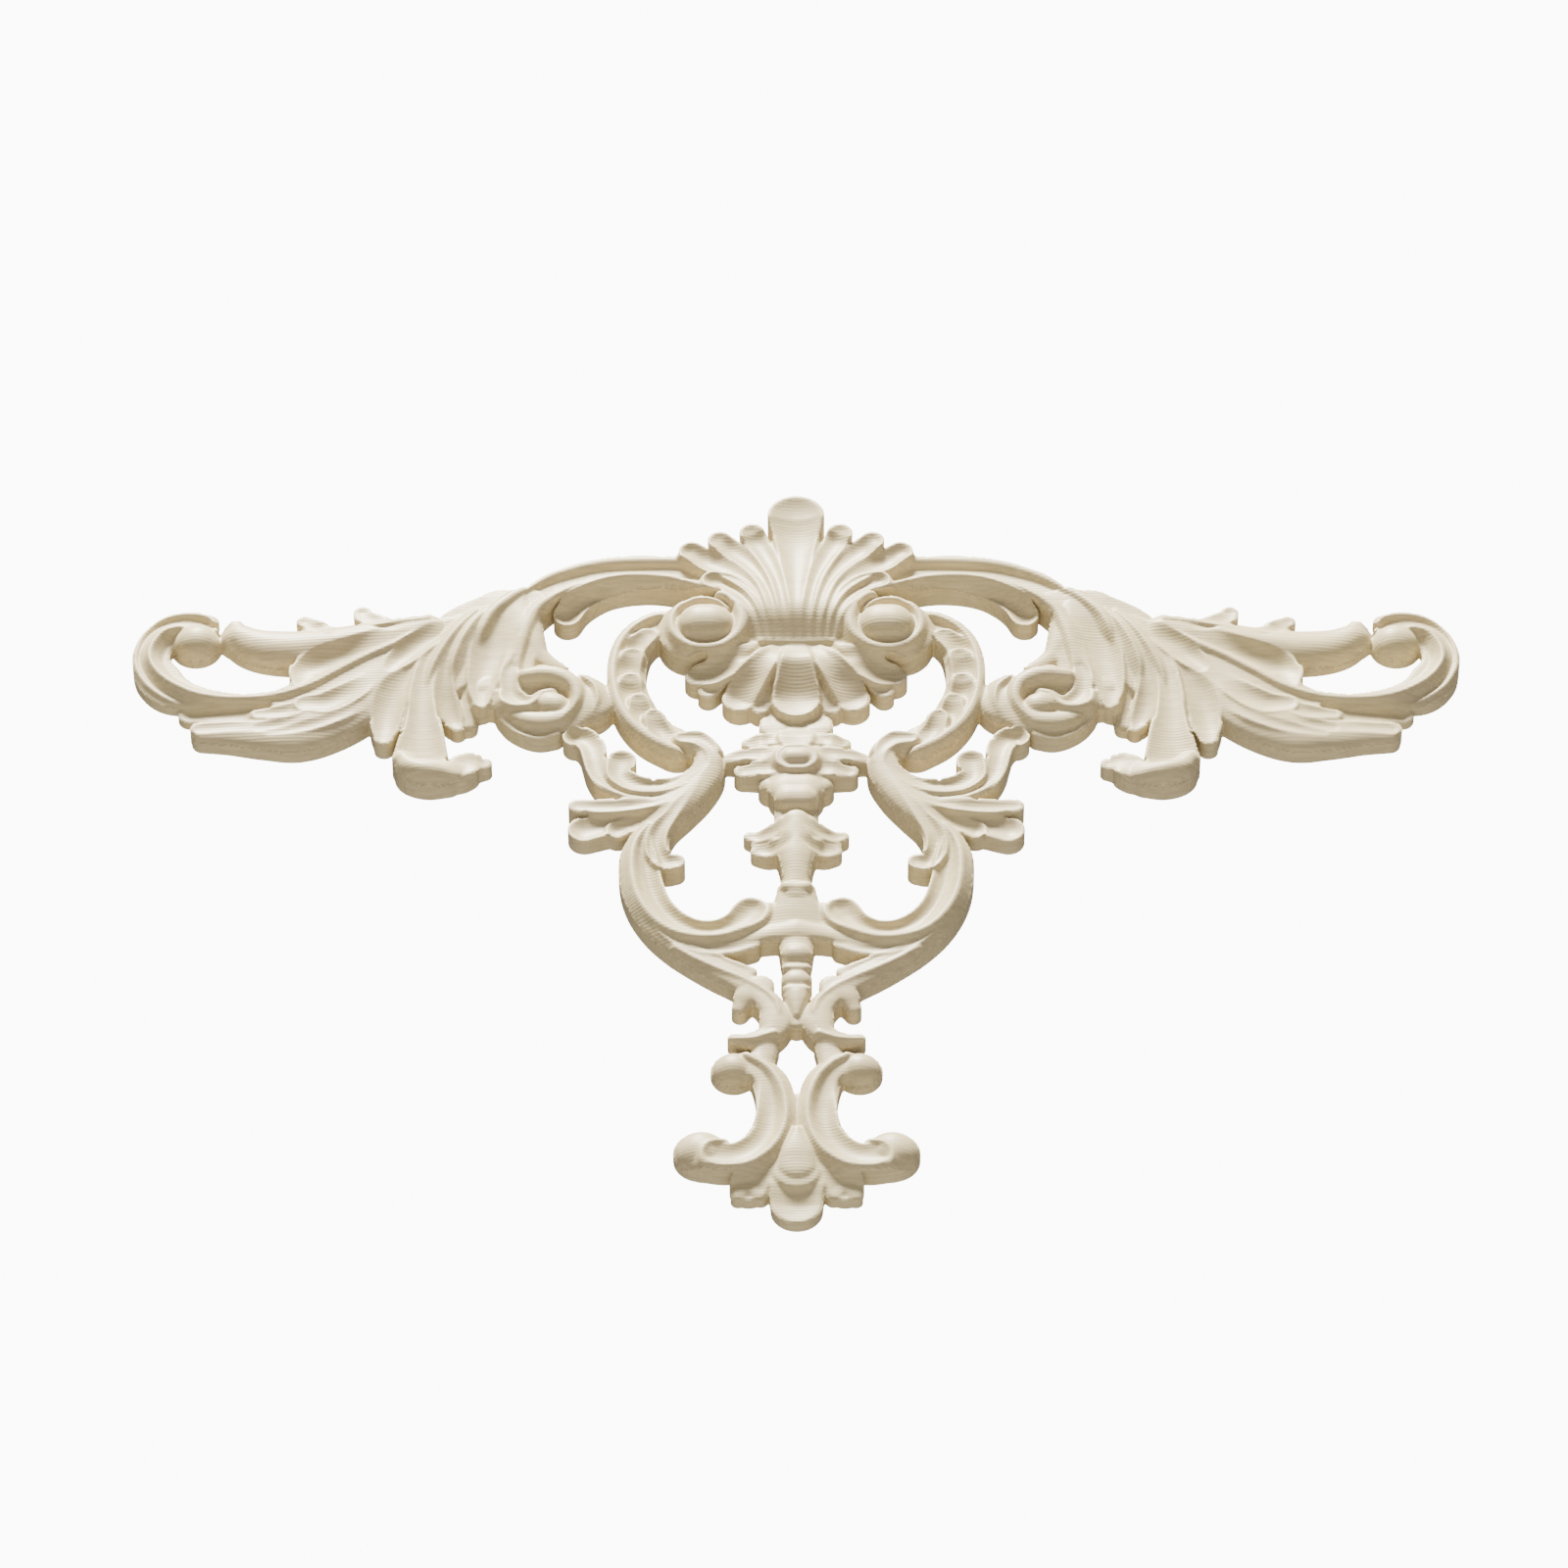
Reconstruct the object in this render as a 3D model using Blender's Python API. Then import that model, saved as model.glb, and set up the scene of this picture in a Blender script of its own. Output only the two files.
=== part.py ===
# Carved wood applique: a shell crest over two leaf wings, an open ring and scroll work
# on each side of a central stem, and a small lobed foot. It is one piece of wood.
#
# Frame: the flat back lies in the plane y = 0 and the carving faces -Y, with +Z up and
# the mirror plane at x = 0. The origin is on the back, behind the waist of the shell.
# The relief is drawn as strokes of a gouge: each has a middle run, a width and a height.

import bpy
import numpy as np

MM = 0.001

# The relief is drawn in millimetres, x across and z up, for the left half only
HALF_WIDTH = 252
LOWEST, HIGHEST = -283, 83
GRID = 1.0              # spacing of the height grid
SPLINE_STEP = 0.8       # length of the straight bits that a curved stroke is made of
FLANK = 2.2             # rise per run of the steep flank beside a stroke
LEAST = 0.05            # no width or height of a stroke falls below this
FILLET = 0.5            # rounding of the notches in the outline
EMERGE = 0.4            # share of an overlying stroke over which it comes out of what is below
LAP = 1.2               # width over which an overlying stroke rounds down to what is below
SOFTEN = 0.8            # rounding of the carved surface
RIM = 1.6               # width over which the face rounds down to its edge
RIM_DROP = 1.0          # how far it comes down there
THINNEST = 2.0          # the carving never gets lower than this
CUT_MARGIN = 0.1        # least share of a grid step between a corner and the outline
TRIANGLES = 9600        # facets of the whole solid
WOOD_COLOR = (0.78, 0.69, 0.55, 1)
WOOD_ROUGHNESS = 0.55


def spline(points, *values):
    """Smooth run through the points, with the widths and heights carried along it."""
    count = len(points)
    columns = [np.asarray(points, float)]
    for value in values:
        value = np.atleast_1d(np.asarray(value, float))
        spread = np.interp(np.linspace(0, 1, count), np.linspace(0, 1, len(value)), value)
        columns.append(spread[:, None])
    knots = np.hstack(columns)
    if count == 1:
        return np.vstack([knots, knots])
    knots = np.vstack([2 * knots[0] - knots[1], knots, 2 * knots[-1] - knots[-2]])
    run = []
    for a, b, c, d in zip(knots, knots[1:], knots[2:], knots[3:]):
        steps = max(2, int(np.hypot(*(c - b)[:2]) / SPLINE_STEP))
        t = np.linspace(0, 1, steps, endpoint=False)[:, None]
        run.append(0.5 * (2 * b + (c - a) * t + (2 * a - 5 * b + 4 * c - d) * t**2
                          + (3 * b - a - 3 * c + d) * t**3))
    run = np.vstack(run + [knots[-2:-1]])
    run[:, 2:] = np.maximum(run[:, 2:], LEAST)
    return run


class Relief:
    """Height of the carving over a grid, and how far each point lies inside its outline."""

    def __init__(self):
        self.x = np.arange(-HALF_WIDTH, GRID / 2, GRID)
        self.z = np.arange(LOWEST, HIGHEST, GRID)
        self.height = np.zeros((len(self.z), len(self.x)))
        self.inside = np.full_like(self.height, -5.0)

    def window(self, run, reach):
        """Rows and columns of the grid within reach of a run."""
        low = run[:, :2].min(0) - reach - (self.x[0], self.z[0])
        high = run[:, :2].max(0) + reach - (self.x[0], self.z[0])
        i, j = np.maximum(low / GRID, 0).astype(int)
        i_end, j_end = np.maximum(high / GRID + 2, 0).astype(int)
        return slice(j, j_end), slice(i, i_end)

    def locate(self, run, part):
        """Distance to the run, signed offset from it, and the values carried at its nearest point."""
        x, z = np.meshgrid(self.x[part[1]], self.z[part[0]])
        nearest = np.full(x.shape, np.inf)
        offset = np.zeros(x.shape)
        values = np.zeros((run.shape[1] - 2,) + x.shape)
        for a, b in zip(run, run[1:]):
            dx, dz = b[:2] - a[:2]
            length = max(np.hypot(dx, dz), 1e-6)
            t = np.clip(((x - a[0]) * dx + (z - a[1]) * dz) / length**2, 0, 1)
            distance = np.hypot(x - a[0] - t * dx, z - a[1] - t * dz)
            closer = distance < nearest
            nearest[closer] = distance[closer]
            offset[closer] = ((dx * (z - a[1]) - dz * (x - a[0])) / length)[closer]
            for value, start, end in zip(values, a[2:], b[2:]):
                value[closer] = (start + t * (end - start))[closer]
        return nearest, offset, values

    def carve(self, points, width, height, right=None, crown=0, dish=0, keel=0, flank=FLANK,
              over=False, bed=True):
        """One stroke of the carving along a run of points.

        width is the half width to the left of the run and right the one to its right. crown rounds
        the stroke down towards its sides, dish hollows it, keel lifts its middle line. A stroke
        joins what is there at the greater height, or comes out of it and lies over it. With bed it
        also widens the piece.
        """
        right = width if right is None else right
        emerge = np.clip(np.linspace(0, 1 / EMERGE, len(points)), 0, 1) if over else 1
        run = spline(points, width, right, height, crown, dish, keel, emerge)
        part = self.window(run, run[:, 2:4].max() + run[:, 4].max() / flank)
        nearest, offset, (left, right, top, crown, dish, keel, emerge) = self.locate(run, part)
        reach = np.where(offset >= 0, left, right)
        u = np.minimum(nearest / reach, 1)
        top = top - crown * (1 - np.sqrt(1 - u**2)) - dish * (1 - u**2) + keel * (1 - u)
        within = reach - nearest
        if over:
            below = self.height[part]
            lap = np.clip(within / LAP, 0, 1)
            lap = np.where(self.inside[part] > 0, np.sqrt(lap * (2 - lap)), within > 0)
            self.height[part] = below + emerge * lap * (top - below)
        else:
            top = top + np.minimum(within, 0) * flank
            self.height[part] = np.maximum(self.height[part], top)
        if bed:
            self.inside[part] = np.maximum(self.inside[part], within)

    def mirror(self):
        """Add the right half."""
        self.x = np.concatenate([self.x, -self.x[-2::-1]])
        self.height = np.hstack([self.height, self.height[:, -2::-1]])
        self.inside = np.hstack([self.inside, self.inside[:, -2::-1]])

    def finish(self):
        """Round the outline's notches and the carved surface."""
        self.inside = blur(self.inside, FILLET)
        covered = self.inside > 0
        weight = blur(covered.astype(float), SOFTEN)
        soft = blur(self.height * covered, SOFTEN) / np.maximum(weight, LEAST)
        rim = 1 - np.clip(self.inside / RIM, 0, 1)
        self.height = np.maximum(soft - RIM_DROP * (1 - np.sqrt(1 - rim**2)), THINNEST)


def blur(field, radius):
    """Gaussian average of a grid over a radius in millimetres."""
    reach = int(np.ceil(3 * radius / GRID))
    kernel = np.exp(-0.5 * (np.arange(-reach, reach + 1) * GRID / radius)**2)
    kernel /= kernel.sum()
    for _ in range(2):
        padded = np.pad(field, ((reach, reach), (0, 0)), mode="edge")
        field = sum(k * padded[i:i + len(field)] for i, k in enumerate(kernel)).T
    return field


def wing_end(carve):
    carve([(-190, -24), (-172, -14), (-155, -4)], 6, [8, 9.6, 11])
    # rolled underside of the lower leaf
    carve([(-220, -40.4), (-210, -40), (-198, -39.5), (-186, -37.5), (-174, -31.5), (-163, -22),
          (-152, -10)], [4, 6, 9, 12, 13, 13, 12], [7, 7.6, 8.4, 9.4, 10, 10.4, 11], right=[4.4, 6, 9,
          12.4, 13, 13, 12], crown=[2.5, 3.2, 4, 4.6, 4, 3, 2])
    # small feather lobe under the scroll
    carve([(-208, -30), (-217, -28.5), (-225.5, -28)], [6, 6, 4.5], [6.5, 5.5, 4], dish=1)
    # scroll bed
    carve([(-221, 20), (-232, 17), (-239, 11), (-243, 4), (-243.5, -3), (-240, -11), (-233, -17.5),
          (-223, -21), (-211, -22.5), (-197, -23)], [4, 5, 7, 9, 10, 11, 9.5, 7, 5.3, 4.2], 4.6,
          right=[3.8, 6.5, 6.2, 5, 4.8, 6.5, 7.3, 5, 4, 4])
    # outer lip
    carve([(-217, 15), (-221, 21), (-230, 23), (-239, 20), (-245, 13), (-247.3, 4), (-247, -4),
          (-243, -13), (-237.5, -19), (-230, -23.5), (-222, -24.5)], 1.3, [7, 6.6, 6.2, 6.2, 6.2, 6.2,
          6.2, 6.2, 6, 5.5, 5], crown=1.2, flank=1.2, bed=False)
    # ball in the scroll
    carve([(-225, 9)], 9.5, 9.8, crown=9.2)
    # round arm
    carve([(-209, 11), (-203, 7.5), (-196, 5.6), (-186, 4.8), (-174, 5.2), (-162, 6), (-150, 8.5),
          (-138, 11)], [7.4, 9, 9.8, 10, 10, 9.5, 8.5, 7], [8.8, 9, 9.4, 10, 11, 12, 12.5, 13],
          crown=[7, 7.6, 7.8, 8, 7.5, 7, 6, 5])
    # square shoulder where the arm ends
    carve([(-210.5, 15), (-210.5, 8)], 3.6, [7.6, 7], crown=1.4)
    # concave inner leaf between arm and ridge
    carve([(-144, 9), (-156, 4), (-167, -1.5), (-176, -5.4), (-181.4, -8.4), (-181.6, -13)], [3, 5,
          6.6, 7.6, 7, 6], [13, 12, 11, 10, 9.4, 9], right=[3, 5, 6.6, 7.6, 7.6, 7.4], dish=[1, 2, 3,
          3.4, 3, 1.6], over=True)
    carve([(-203, -22.4), (-192, -21), (-180, -15)], [4.4, 4.6, 4], [5, 5.6, 7])
    carve([(-204, -28), (-193, -27.6)], 2.6, 5.4)
    # ridge of the scroll running on into the wing
    carve([(-225, 13), (-231, 14.4), (-237, 12.2), (-240.6, 6.6), (-242, 0.4), (-240.6, -5.6),
          (-236.4, -12), (-230, -17.4), (-222, -21.6), (-211, -23.8), (-200, -23.6), (-190, -21.6),
          (-180, -17.2), (-170, -10.5), (-160, -4), (-150, 1.5), (-140, 8)], [0.8, 1.2, 1.3, 1.3, 1.3,
          1.3, 1.4, 1.5, 1.6, 1.6, 1.6, 1.6, 1.6, 1.6, 1.6, 1.6, 1.4], [6.5, 8, 8.4, 8.6, 8.6, 8.6,
          8.6, 8.8, 9, 9.2, 9.4, 9.8, 10.4, 11.2, 12, 12.8, 13.4], crown=1.2, flank=0.9, bed=False)
    # feathers standing up from the arm
    carve([(-172, 10), (-179, 12.8), (-184.6, 17.4)], [3.8, 4, 3.2], [10, 8.6, 7.4], dish=0.8,
          over=True)
    carve([(-146, 11), (-155, 13.6), (-161.4, 18), (-163, 21.4)], [3, 4.4, 4, 3.4], [12.4, 10.8, 9.4,
          8.4], dish=1, over=True)
    # crest line along the top of the arm
    carve([(-205, 10), (-194, 8), (-180, 8.6), (-166, 10.6), (-150, 12.6), (-138, 14)], 0.9, [8.6, 9,
          9.8, 11, 12.6, 13.4], crown=0.6, flank=0.8, bed=False)
    # scallops along the lower leaf, one behind the other
    carve([(-180, -33), (-190, -38), (-199.6, -38.8)], [3.6, 4, 2.8], [10.6, 9.8, 8.4], dish=[0.8, 1.4,
          0.8], over=True)
    carve([(-178, -26), (-189, -31), (-200.4, -31.8)], [3.4, 4, 3], [10.8, 10, 8.6], dish=[0.8, 1.6,
          0.8], over=True)
    carve([(-158, -15), (-165, -22), (-174, -27.4), (-183, -27.4)], [4, 5.6, 6, 4.2], [12, 11.8, 11.2,
          10], dish=[1, 2.2, 2.4, 1.2], over=True)
    carve([(-160, -29), (-170, -35), (-182, -39.6), (-196, -42)], [2.4, 3.2, 3, 1.8], [11.2, 10.8, 9.8,
          8.4], dish=[0.6, 1, 1, 0.4], over=True)
    # tip of the lower leaf
    carve([(-196, -39), (-209, -38), (-221.5, -38.6)], [3.2, 3.6, 3.4], [8.8, 8.2, 7.4], dish=0.9,
          over=True)


def leaf(carve):
    # bed under all of the lobes
    carve([(-110, 18), (-121, 8), (-131, -5), (-138, -20), (-140, -36)], [10, 14, 14, 11, 7], [12, 11,
          9.6, 8, 7.6], right=[12, 15, 14, 11, 8])
    carve([(-108, 14), (-106, 4), (-107, -8), (-110, -18)], [8, 9, 9, 7], [11, 10, 9, 8.6], right=[8,
          9, 9, 7])
    # cheek between the hooked flute and the blade beside it
    carve([(-121, -12), (-121.6, -24), (-121.9, -33.6)], [4, 3.8, 3.6], [9, 7, 5.2], crown=[1, 1.4,
          1.8])
    # outer lobe with its long tip
    carve([(-128, 6.6), (-136, -4), (-143, -12.2), (-149, -21.2), (-151.5, -30.3), (-152.3, -38.3),
          (-152.8, -44)], [3, 5, 6, 6.8, 6.4, 5.8, 3.8], [13.2, 12.8, 12, 11, 10, 9.2, 8.4], dish=[0.4,
          1.2, 2, 2.6, 2.6, 2, 0.8], over=True)
    # short side tip lapping over it
    carve([(-122, 16.3), (-131, 9.7), (-139, 3.2), (-145, -2.7), (-149, -7.1), (-151, -10)], [2.6, 4.8,
          5.8, 5.8, 5, 3.4], [13.8, 13.4, 13, 12.6, 12, 11.2], dish=[0.6, 1.6, 2.6, 2.8, 2, 0.8],
          over=True)
    # middle lobe, the longest
    carve([(-122, 14), (-130, 2), (-136, -8.4), (-138.6, -19.6), (-139, -31.2), (-138.6, -43),
          (-138.8, -54.6)], [2.6, 4, 5.4, 5.6, 6, 8, 10.2], [13.8, 13.2, 12.6, 11.8, 11.2, 11, 11.2],
          dish=[0.4, 1, 1.6, 1.8, 2, 2.4, 3], over=True)
    # hooked flute
    carve([(-120, 16), (-125.6, 5), (-129.6, -6), (-130.8, -16.6), (-129.6, -26.1), (-127.4, -33.4),
          (-125.8, -36.4)], [1.8, 2.8, 3.2, 3.8, 4.6, 4.2, 3], [13.8, 13.2, 12.2, 10.8, 9, 7.4, 6.6],
          dish=[0.3, 0.8, 1.2, 1.6, 2, 1.6, 0.6], over=True)
    # broad blade beside the arc
    carve([(-105, 25), (-109, 17), (-112, 8), (-113.6, -2), (-115.6, -11.6), (-117, -20),
          (-117.2, -26.4)], [3, 8, 9.4, 9, 6.6, 5.4, 3.6], [13.4, 13.4, 13.2, 12.4, 11.4, 10.4, 9.4],
          right=[3, 5.4, 7.4, 8.8, 7.6, 5.8, 3.8], dish=[0.6, 2, 3.2, 3.4, 2.8, 2, 0.8], over=True)
    # ribs fanning out from the root
    carve([(-116, 19), (-121.6, 10), (-126, 0), (-128.4, -10), (-128.4, -20)], [0.8, 1.2, 1.2, 1, 0.6],
          [13.4, 14.2, 13.6, 11.8, 8], crown=0.8, flank=0.6, bed=False)
    carve([(-120, 18), (-127, 8), (-132.8, -3), (-136.6, -14), (-138, -26)], [0.8, 1.2, 1.2, 1, 0.6],
          [13.4, 14, 13.4, 11.8, 8.4], crown=0.8, flank=0.6, bed=False)
    # the tip of the middle lobe curls up and sweeps round to the right
    carve([(-145.4, -56), (-142, -60.6), (-136, -62.8), (-129, -62.4)], [4, 5.6, 6, 5.4], [11.2, 12.4,
          12.8, 11.4], crown=[3, 5, 5.5, 5])
    carve([(-131, -64.4), (-125, -60.6), (-119.4, -56.6), (-115.4, -56.2)], [3, 5.6, 5.2, 3], [11,
          10.4, 8.6, 7], dish=[0.4, 1, 1, 0.6], over=True)
    # inner flank towards the opening of the arc, running out in a point
    carve([(-100, 22), (-99, 13), (-98.4, 5), (-96.4, -0.6), (-92.4, -3.8), (-87.4, -5.6)], [3, 4, 4.6,
          4, 2.8, 1], [11.5, 11, 10.5, 9.6, 8.6, 7.6], right=[3, 4, 4, 4, 4, 3], crown=[2.5, 2.5, 2.5,
          2, 1.2, 0.6])


def arc(carve):
    carve([(-102, 26), (-98, 25)], 4.6, 11.6)
    # channel between the lips
    carve([(-30, 40), (-50, 41.5), (-62, 41.8), (-74, 39.8), (-84, 35.6), (-92, 30), (-99, 22)], [4, 4,
          4, 4, 4.4, 5, 5], [10.2, 10.2, 10.2, 10.2, 10.2, 10.6, 11], right=[6.5, 6.3, 6.3, 6.6, 7,
          7.4, 7])
    # outer lip
    carve([(-40, 45.8), (-50, 46.3), (-64, 46), (-75, 44.7), (-85, 41.6), (-93, 37.6), (-101, 31.6),
          (-108, 25), (-114, 17.5), (-117.5, 9), (-119, 1)], [2.2, 2.2, 2.2, 2.2, 2.2, 2.2, 2.2, 2,
          1.8, 1.5, 0.9], [12.4, 12.4, 12.4, 12.4, 12.4, 12.6, 12.9, 13.5, 14, 13.4, 10.6], crown=1,
          flank=1, bed=False)
    # inner ridge, running on down the side of the leaf
    carve([(-36, 31.4), (-47, 36), (-60, 37.4), (-70, 36.4), (-79, 33.2), (-87, 28.8), (-94, 24),
          (-98.5, 18.6), (-101.4, 11), (-103.4, 2), (-104.6, -7)], [1.6, 1.6, 1.6, 1.6, 1.6, 1.7, 2,
          2.4, 2.6, 2.4, 1.6], [13, 13, 13, 13, 13, 13, 13, 12.8, 12.6, 12, 10.8], crown=1.2,
          flank=1.3, bed=False)
    # steep cheek below the ridge with its blunt end
    carve([(-30, 30), (-48, 35.5), (-60, 36.2), (-70, 34), (-77, 30.2), (-82.5, 25.4), (-86, 20)], [3,
          3, 3.2, 3.4, 4, 4.8, 5.4], [7.4, 7.4, 7.4, 7.6, 8.2, 8.8, 9], right=[3, 3, 3, 3.2, 3.8, 4.6,
          5.2], dish=[0.3, 0.4, 0.6, 1, 1.8, 2.8, 3])


def ring(carve):
    carve([(-44, 15), (-49, 15), (-54, 12.6), (-58.5, 8), (-61.4, 2), (-63.2, -9), (-62.6, -19),
          (-60, -28.5), (-56.5, -35.5), (-51.6, -41.6), (-44, -47)], [6, 6.3, 6.5, 7, 7, 7.2, 7.2, 7.8,
          8, 8, 8], 8, crown=1.4)
    # leaf tips lapping up along the inside
    carve([(-61, -7), (-59, 2), (-55, 7.4)], [4, 4.8, 4], [8.4, 9.4, 10], dish=[1, 2, 1.4], over=True)
    carve([(-61, -19), (-61, -10), (-60.2, -4)], [4, 4.8, 4.4], [8.4, 9.4, 10.2], dish=[1, 2.2, 1.6],
          over=True)
    carve([(-57.4, -31), (-59.8, -22), (-60.2, -17.6)], [4, 4.6, 4.2], [8.4, 9.4, 10.2], dish=[1, 2.2,
          1.6], over=True)
    carve([(-51.5, -40), (-55.4, -32.4), (-56.8, -27.6)], [4, 4.6, 4], [8.6, 9.6, 10.4], dish=[1, 2.2,
          1.6], over=True)
    carve([(-45, -47), (-49.6, -40.4), (-51.6, -35.6)], [4, 4.4, 4], [9, 10, 10.6], dish=[1, 2, 1.6],
          over=True)
    # smooth outer band
    carve([(-46, 19), (-54, 17.4), (-61, 12), (-65.6, 4), (-67.8, -7), (-67.4, -18), (-64.6, -29),
          (-59.4, -38.5), (-52, -46), (-44, -51)], 2.7, 10.2, crown=1.8, flank=1.4)


def knob(carve):
    # cushion that the volute is cut in
    carve([(-99, -26.6), (-88, -27.5), (-79, -25)], [13.4, 13.4, 11.6], [8.4, 10, 10.6], crown=[1.5,
          2.4, 4])
    carve([(-108, -22), (-101, -16)], 5, [8.6, 9.4])
    carve([(-114, -18), (-112.6, -24.4)], 4.6, [9, 7.4])
    # outer crescent below
    carve([(-109, -27), (-107.2, -33.4), (-102, -38.6), (-95.6, -41.4), (-89.4, -40.6)], [2, 2.8, 3, 3,
          2.6], [8.6, 8.4, 8.2, 8.2, 8.8], dish=[0.6, 1.2, 1.4, 1.2, 0.6], over=True)
    # full roll between it and the cup
    carve([(-107.6, -28.4), (-102, -34), (-94.6, -36.2), (-87, -34.4), (-82, -28)], [2.6, 3.6, 4, 4,
          3], [9.6, 10.4, 11, 11.2, 11], crown=[1.6, 2.2, 2.4, 2.4, 1.6])
    # cup that the band of the arc runs down into
    carve([(-104, 6), (-105.6, -4), (-107, -14), (-106, -22.4), (-101.4, -26.6), (-96.4, -26)], [3,
          3.6, 4, 4, 3.8, 2.4], [11.4, 11.4, 11.2, 11, 11, 11], dish=[0.4, 0.8, 1.4, 2, 2, 1],
          over=True)
    # deep hollow inside the volute
    carve([(-103, -19), (-97, -20.8), (-91, -21), (-86.6, -24), (-85.4, -29)], [1.4, 2.4, 2.6, 2.4,
          1.4], [9, 8, 8, 8.2, 9], over=True)
    # eye and the rim of the cup that winds up to it
    carve([(-91.4, -28), (-89.6, -28.6)], 5.2, 12.6, crown=3.6)
    carve([(-110.6, -22), (-109, -27.6), (-104.4, -30.6), (-99.4, -30), (-96.4, -27), (-94.6, -24),
          (-91, -22.8)], [0.9, 1.1, 1.2, 1.2, 1.2, 1.2, 1], [10.6, 11.4, 11.8, 11.8, 11.8, 12, 12],
          crown=0.8, flank=1, bed=False)
    # rolled band winding round the eye
    carve([(-100.6, -14.6), (-95, -13.9), (-88.4, -15.2), (-83, -19.4), (-81.4, -26), (-83.4, -32),
          (-87, -36), (-91.4, -38.8)], [3.2, 3.6, 3.7, 3.2, 2.2, 1.4, 1.1, 0.8], [13, 13.6, 13.8, 13.4,
          12.8, 12, 11.2, 10], crown=[2.6, 2.8, 2.8, 2.4, 1.6, 1, 0.8, 0.6], flank=1.6)
    # line on the cushion's cheek
    carve([(-79.6, -15), (-75.2, -19.6), (-73.8, -26), (-75, -31.6)], [0.8, 0.9, 0.9, 0.6], [11.6,
          11.6, 11.2, 10], crown=0.6, flank=0.8, bed=False)


def shell(carve):
    carve([(-36, 35.6), (-30, 34)], 4, 10.4)
    carve([(-20, 2.4)], 6, 11.6)
    carve([(0, 50), (0, 40), (0, 20), (0, -4)], [10, 20, 20, 16], [13, 13, 13, 11], crown=[2, 2, 2, 3])
    carve([(-12, 34), (-26, 44)], [9, 6], [13, 12], crown=1)
    # flutes that gather at the waist, swell above it, dip and curl up again at their tips
    carve([(-13, 4), (-15.4, 14), (-19.6, 23.6), (-25.6, 30.6), (-31.2, 32.4)], [1.9, 2.8, 4, 4.6,
          4.2], [12.6, 17, 16.6, 15.4, 15.6], dish=[0.4, 1, 1.8, 2.2, 2.4])
    carve([(-10, 4), (-12, 15), (-16.4, 27), (-24.6, 37.4), (-33, 44), (-39.4, 48.6)], [1.9, 2.6, 3.6,
          4.6, 5.2, 4.8], [12.8, 17.6, 16.8, 15, 13.8, 15], dish=[0.4, 1, 1.4, 1.8, 2.2, 2.6])
    carve([(-7, 4), (-8.6, 15), (-12, 30), (-17.6, 42), (-24, 49.4), (-28.8, 53.4)], [1.9, 2.4, 3.2,
          4.2, 4.8, 4.6], [12.8, 18, 17, 15, 14.4, 15.8], dish=[0.4, 1, 1.4, 1.8, 2.2, 2.6])
    carve([(-3.8, 4), (-4.8, 15), (-7.6, 32), (-11.8, 46), (-15, 53.6), (-16.6, 57)], [1.8, 2.2, 3, 4,
          4.8, 4.8], [12.8, 18.2, 17.2, 15.2, 14.8, 16.2], dish=[0.4, 1, 1.4, 1.6, 2.2, 2.6])
    carve([(0, 4), (0, 15), (0, 30), (0, 44), (0, 54), (0, 61), (0, 64.4)], [1.8, 2.6, 4.2, 6.4, 8.4,
          10, 10.8], [12.8, 18.4, 17.4, 15.8, 15.6, 16.8, 17.8], dish=[0.4, 0.8, 1.4, 1.8, 2.2, 2.6,
          2.8])
    # skirt lobes that swell below the waist and fall away to their tips
    carve([(-28, -14), (-32.8, -18.8)], [3.4, 3.8], [8.5, 7.4], dish=0.6)
    carve([(-10, 1), (-15, -2.4), (-21, -6.4), (-27, -9.8), (-32, -11.8), (-36.6, -11.6)], [2.4, 4.4,
          5.6, 6, 6, 5], [12.5, 14.2, 12.4, 10, 8.2, 7.4], dish=[0.4, 1, 2, 2.4, 2, 0.8], over=True)
    carve([(-11, -18), (-13.6, -27.4)], [2.4, 3.6], [9, 7.4], dish=0.5)
    carve([(-6, 1), (-9.4, -4), (-13, -10.4), (-17.4, -17.4), (-21, -23.6)], [2.4, 4.6, 6, 6.8, 6.6],
          [12.5, 14.8, 14, 10.4, 7.8], dish=[0.4, 1, 2, 2.6, 1], over=True)
    carve([(0, 1.5), (0, -3), (0, -9), (0, -16), (0, -22), (0, -25.4)], [4, 5.4, 6.6, 8, 9, 9.4],
          [12.5, 15, 15.6, 12.8, 9.4, 8], dish=[0.3, 0.8, 1.4, 2, 1.6, 0.6], over=True)
    # volute body, spiral rim and ball
    carve([(-38, 8.5), (-33, 10), (-26, 14)], [13.4, 15, 12], [12, 12.5, 13], crown=2)
    carve([(-42, 33.8), (-35, 30), (-27.4, 24.8), (-22, 17.8), (-20.2, 11), (-22.4, 3.6), (-28, -1.4),
          (-35.6, -2.4), (-42, 0.8), (-46.2, 7), (-46.4, 14), (-43, 19.8), (-36.8, 22.8), (-30, 21.6),
          (-25.2, 17.6)], [1.2, 1.9, 2.2, 2.4, 2.4, 2.2, 2.1, 2, 1.9, 1.8, 1.7, 1.6, 1.4, 1.2, 0.9],
          [13.6, 14.8, 16, 16.6, 16.4, 15.8, 15.2, 14.8, 14.4, 14.4, 14.6, 14.8, 15, 15, 14.5],
          crown=1.5, flank=1.4, bed=False)
    carve([(-34.8, 10.2), (-32.6, 10.2)], 9.6, 19.4, crown=7.4)


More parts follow.
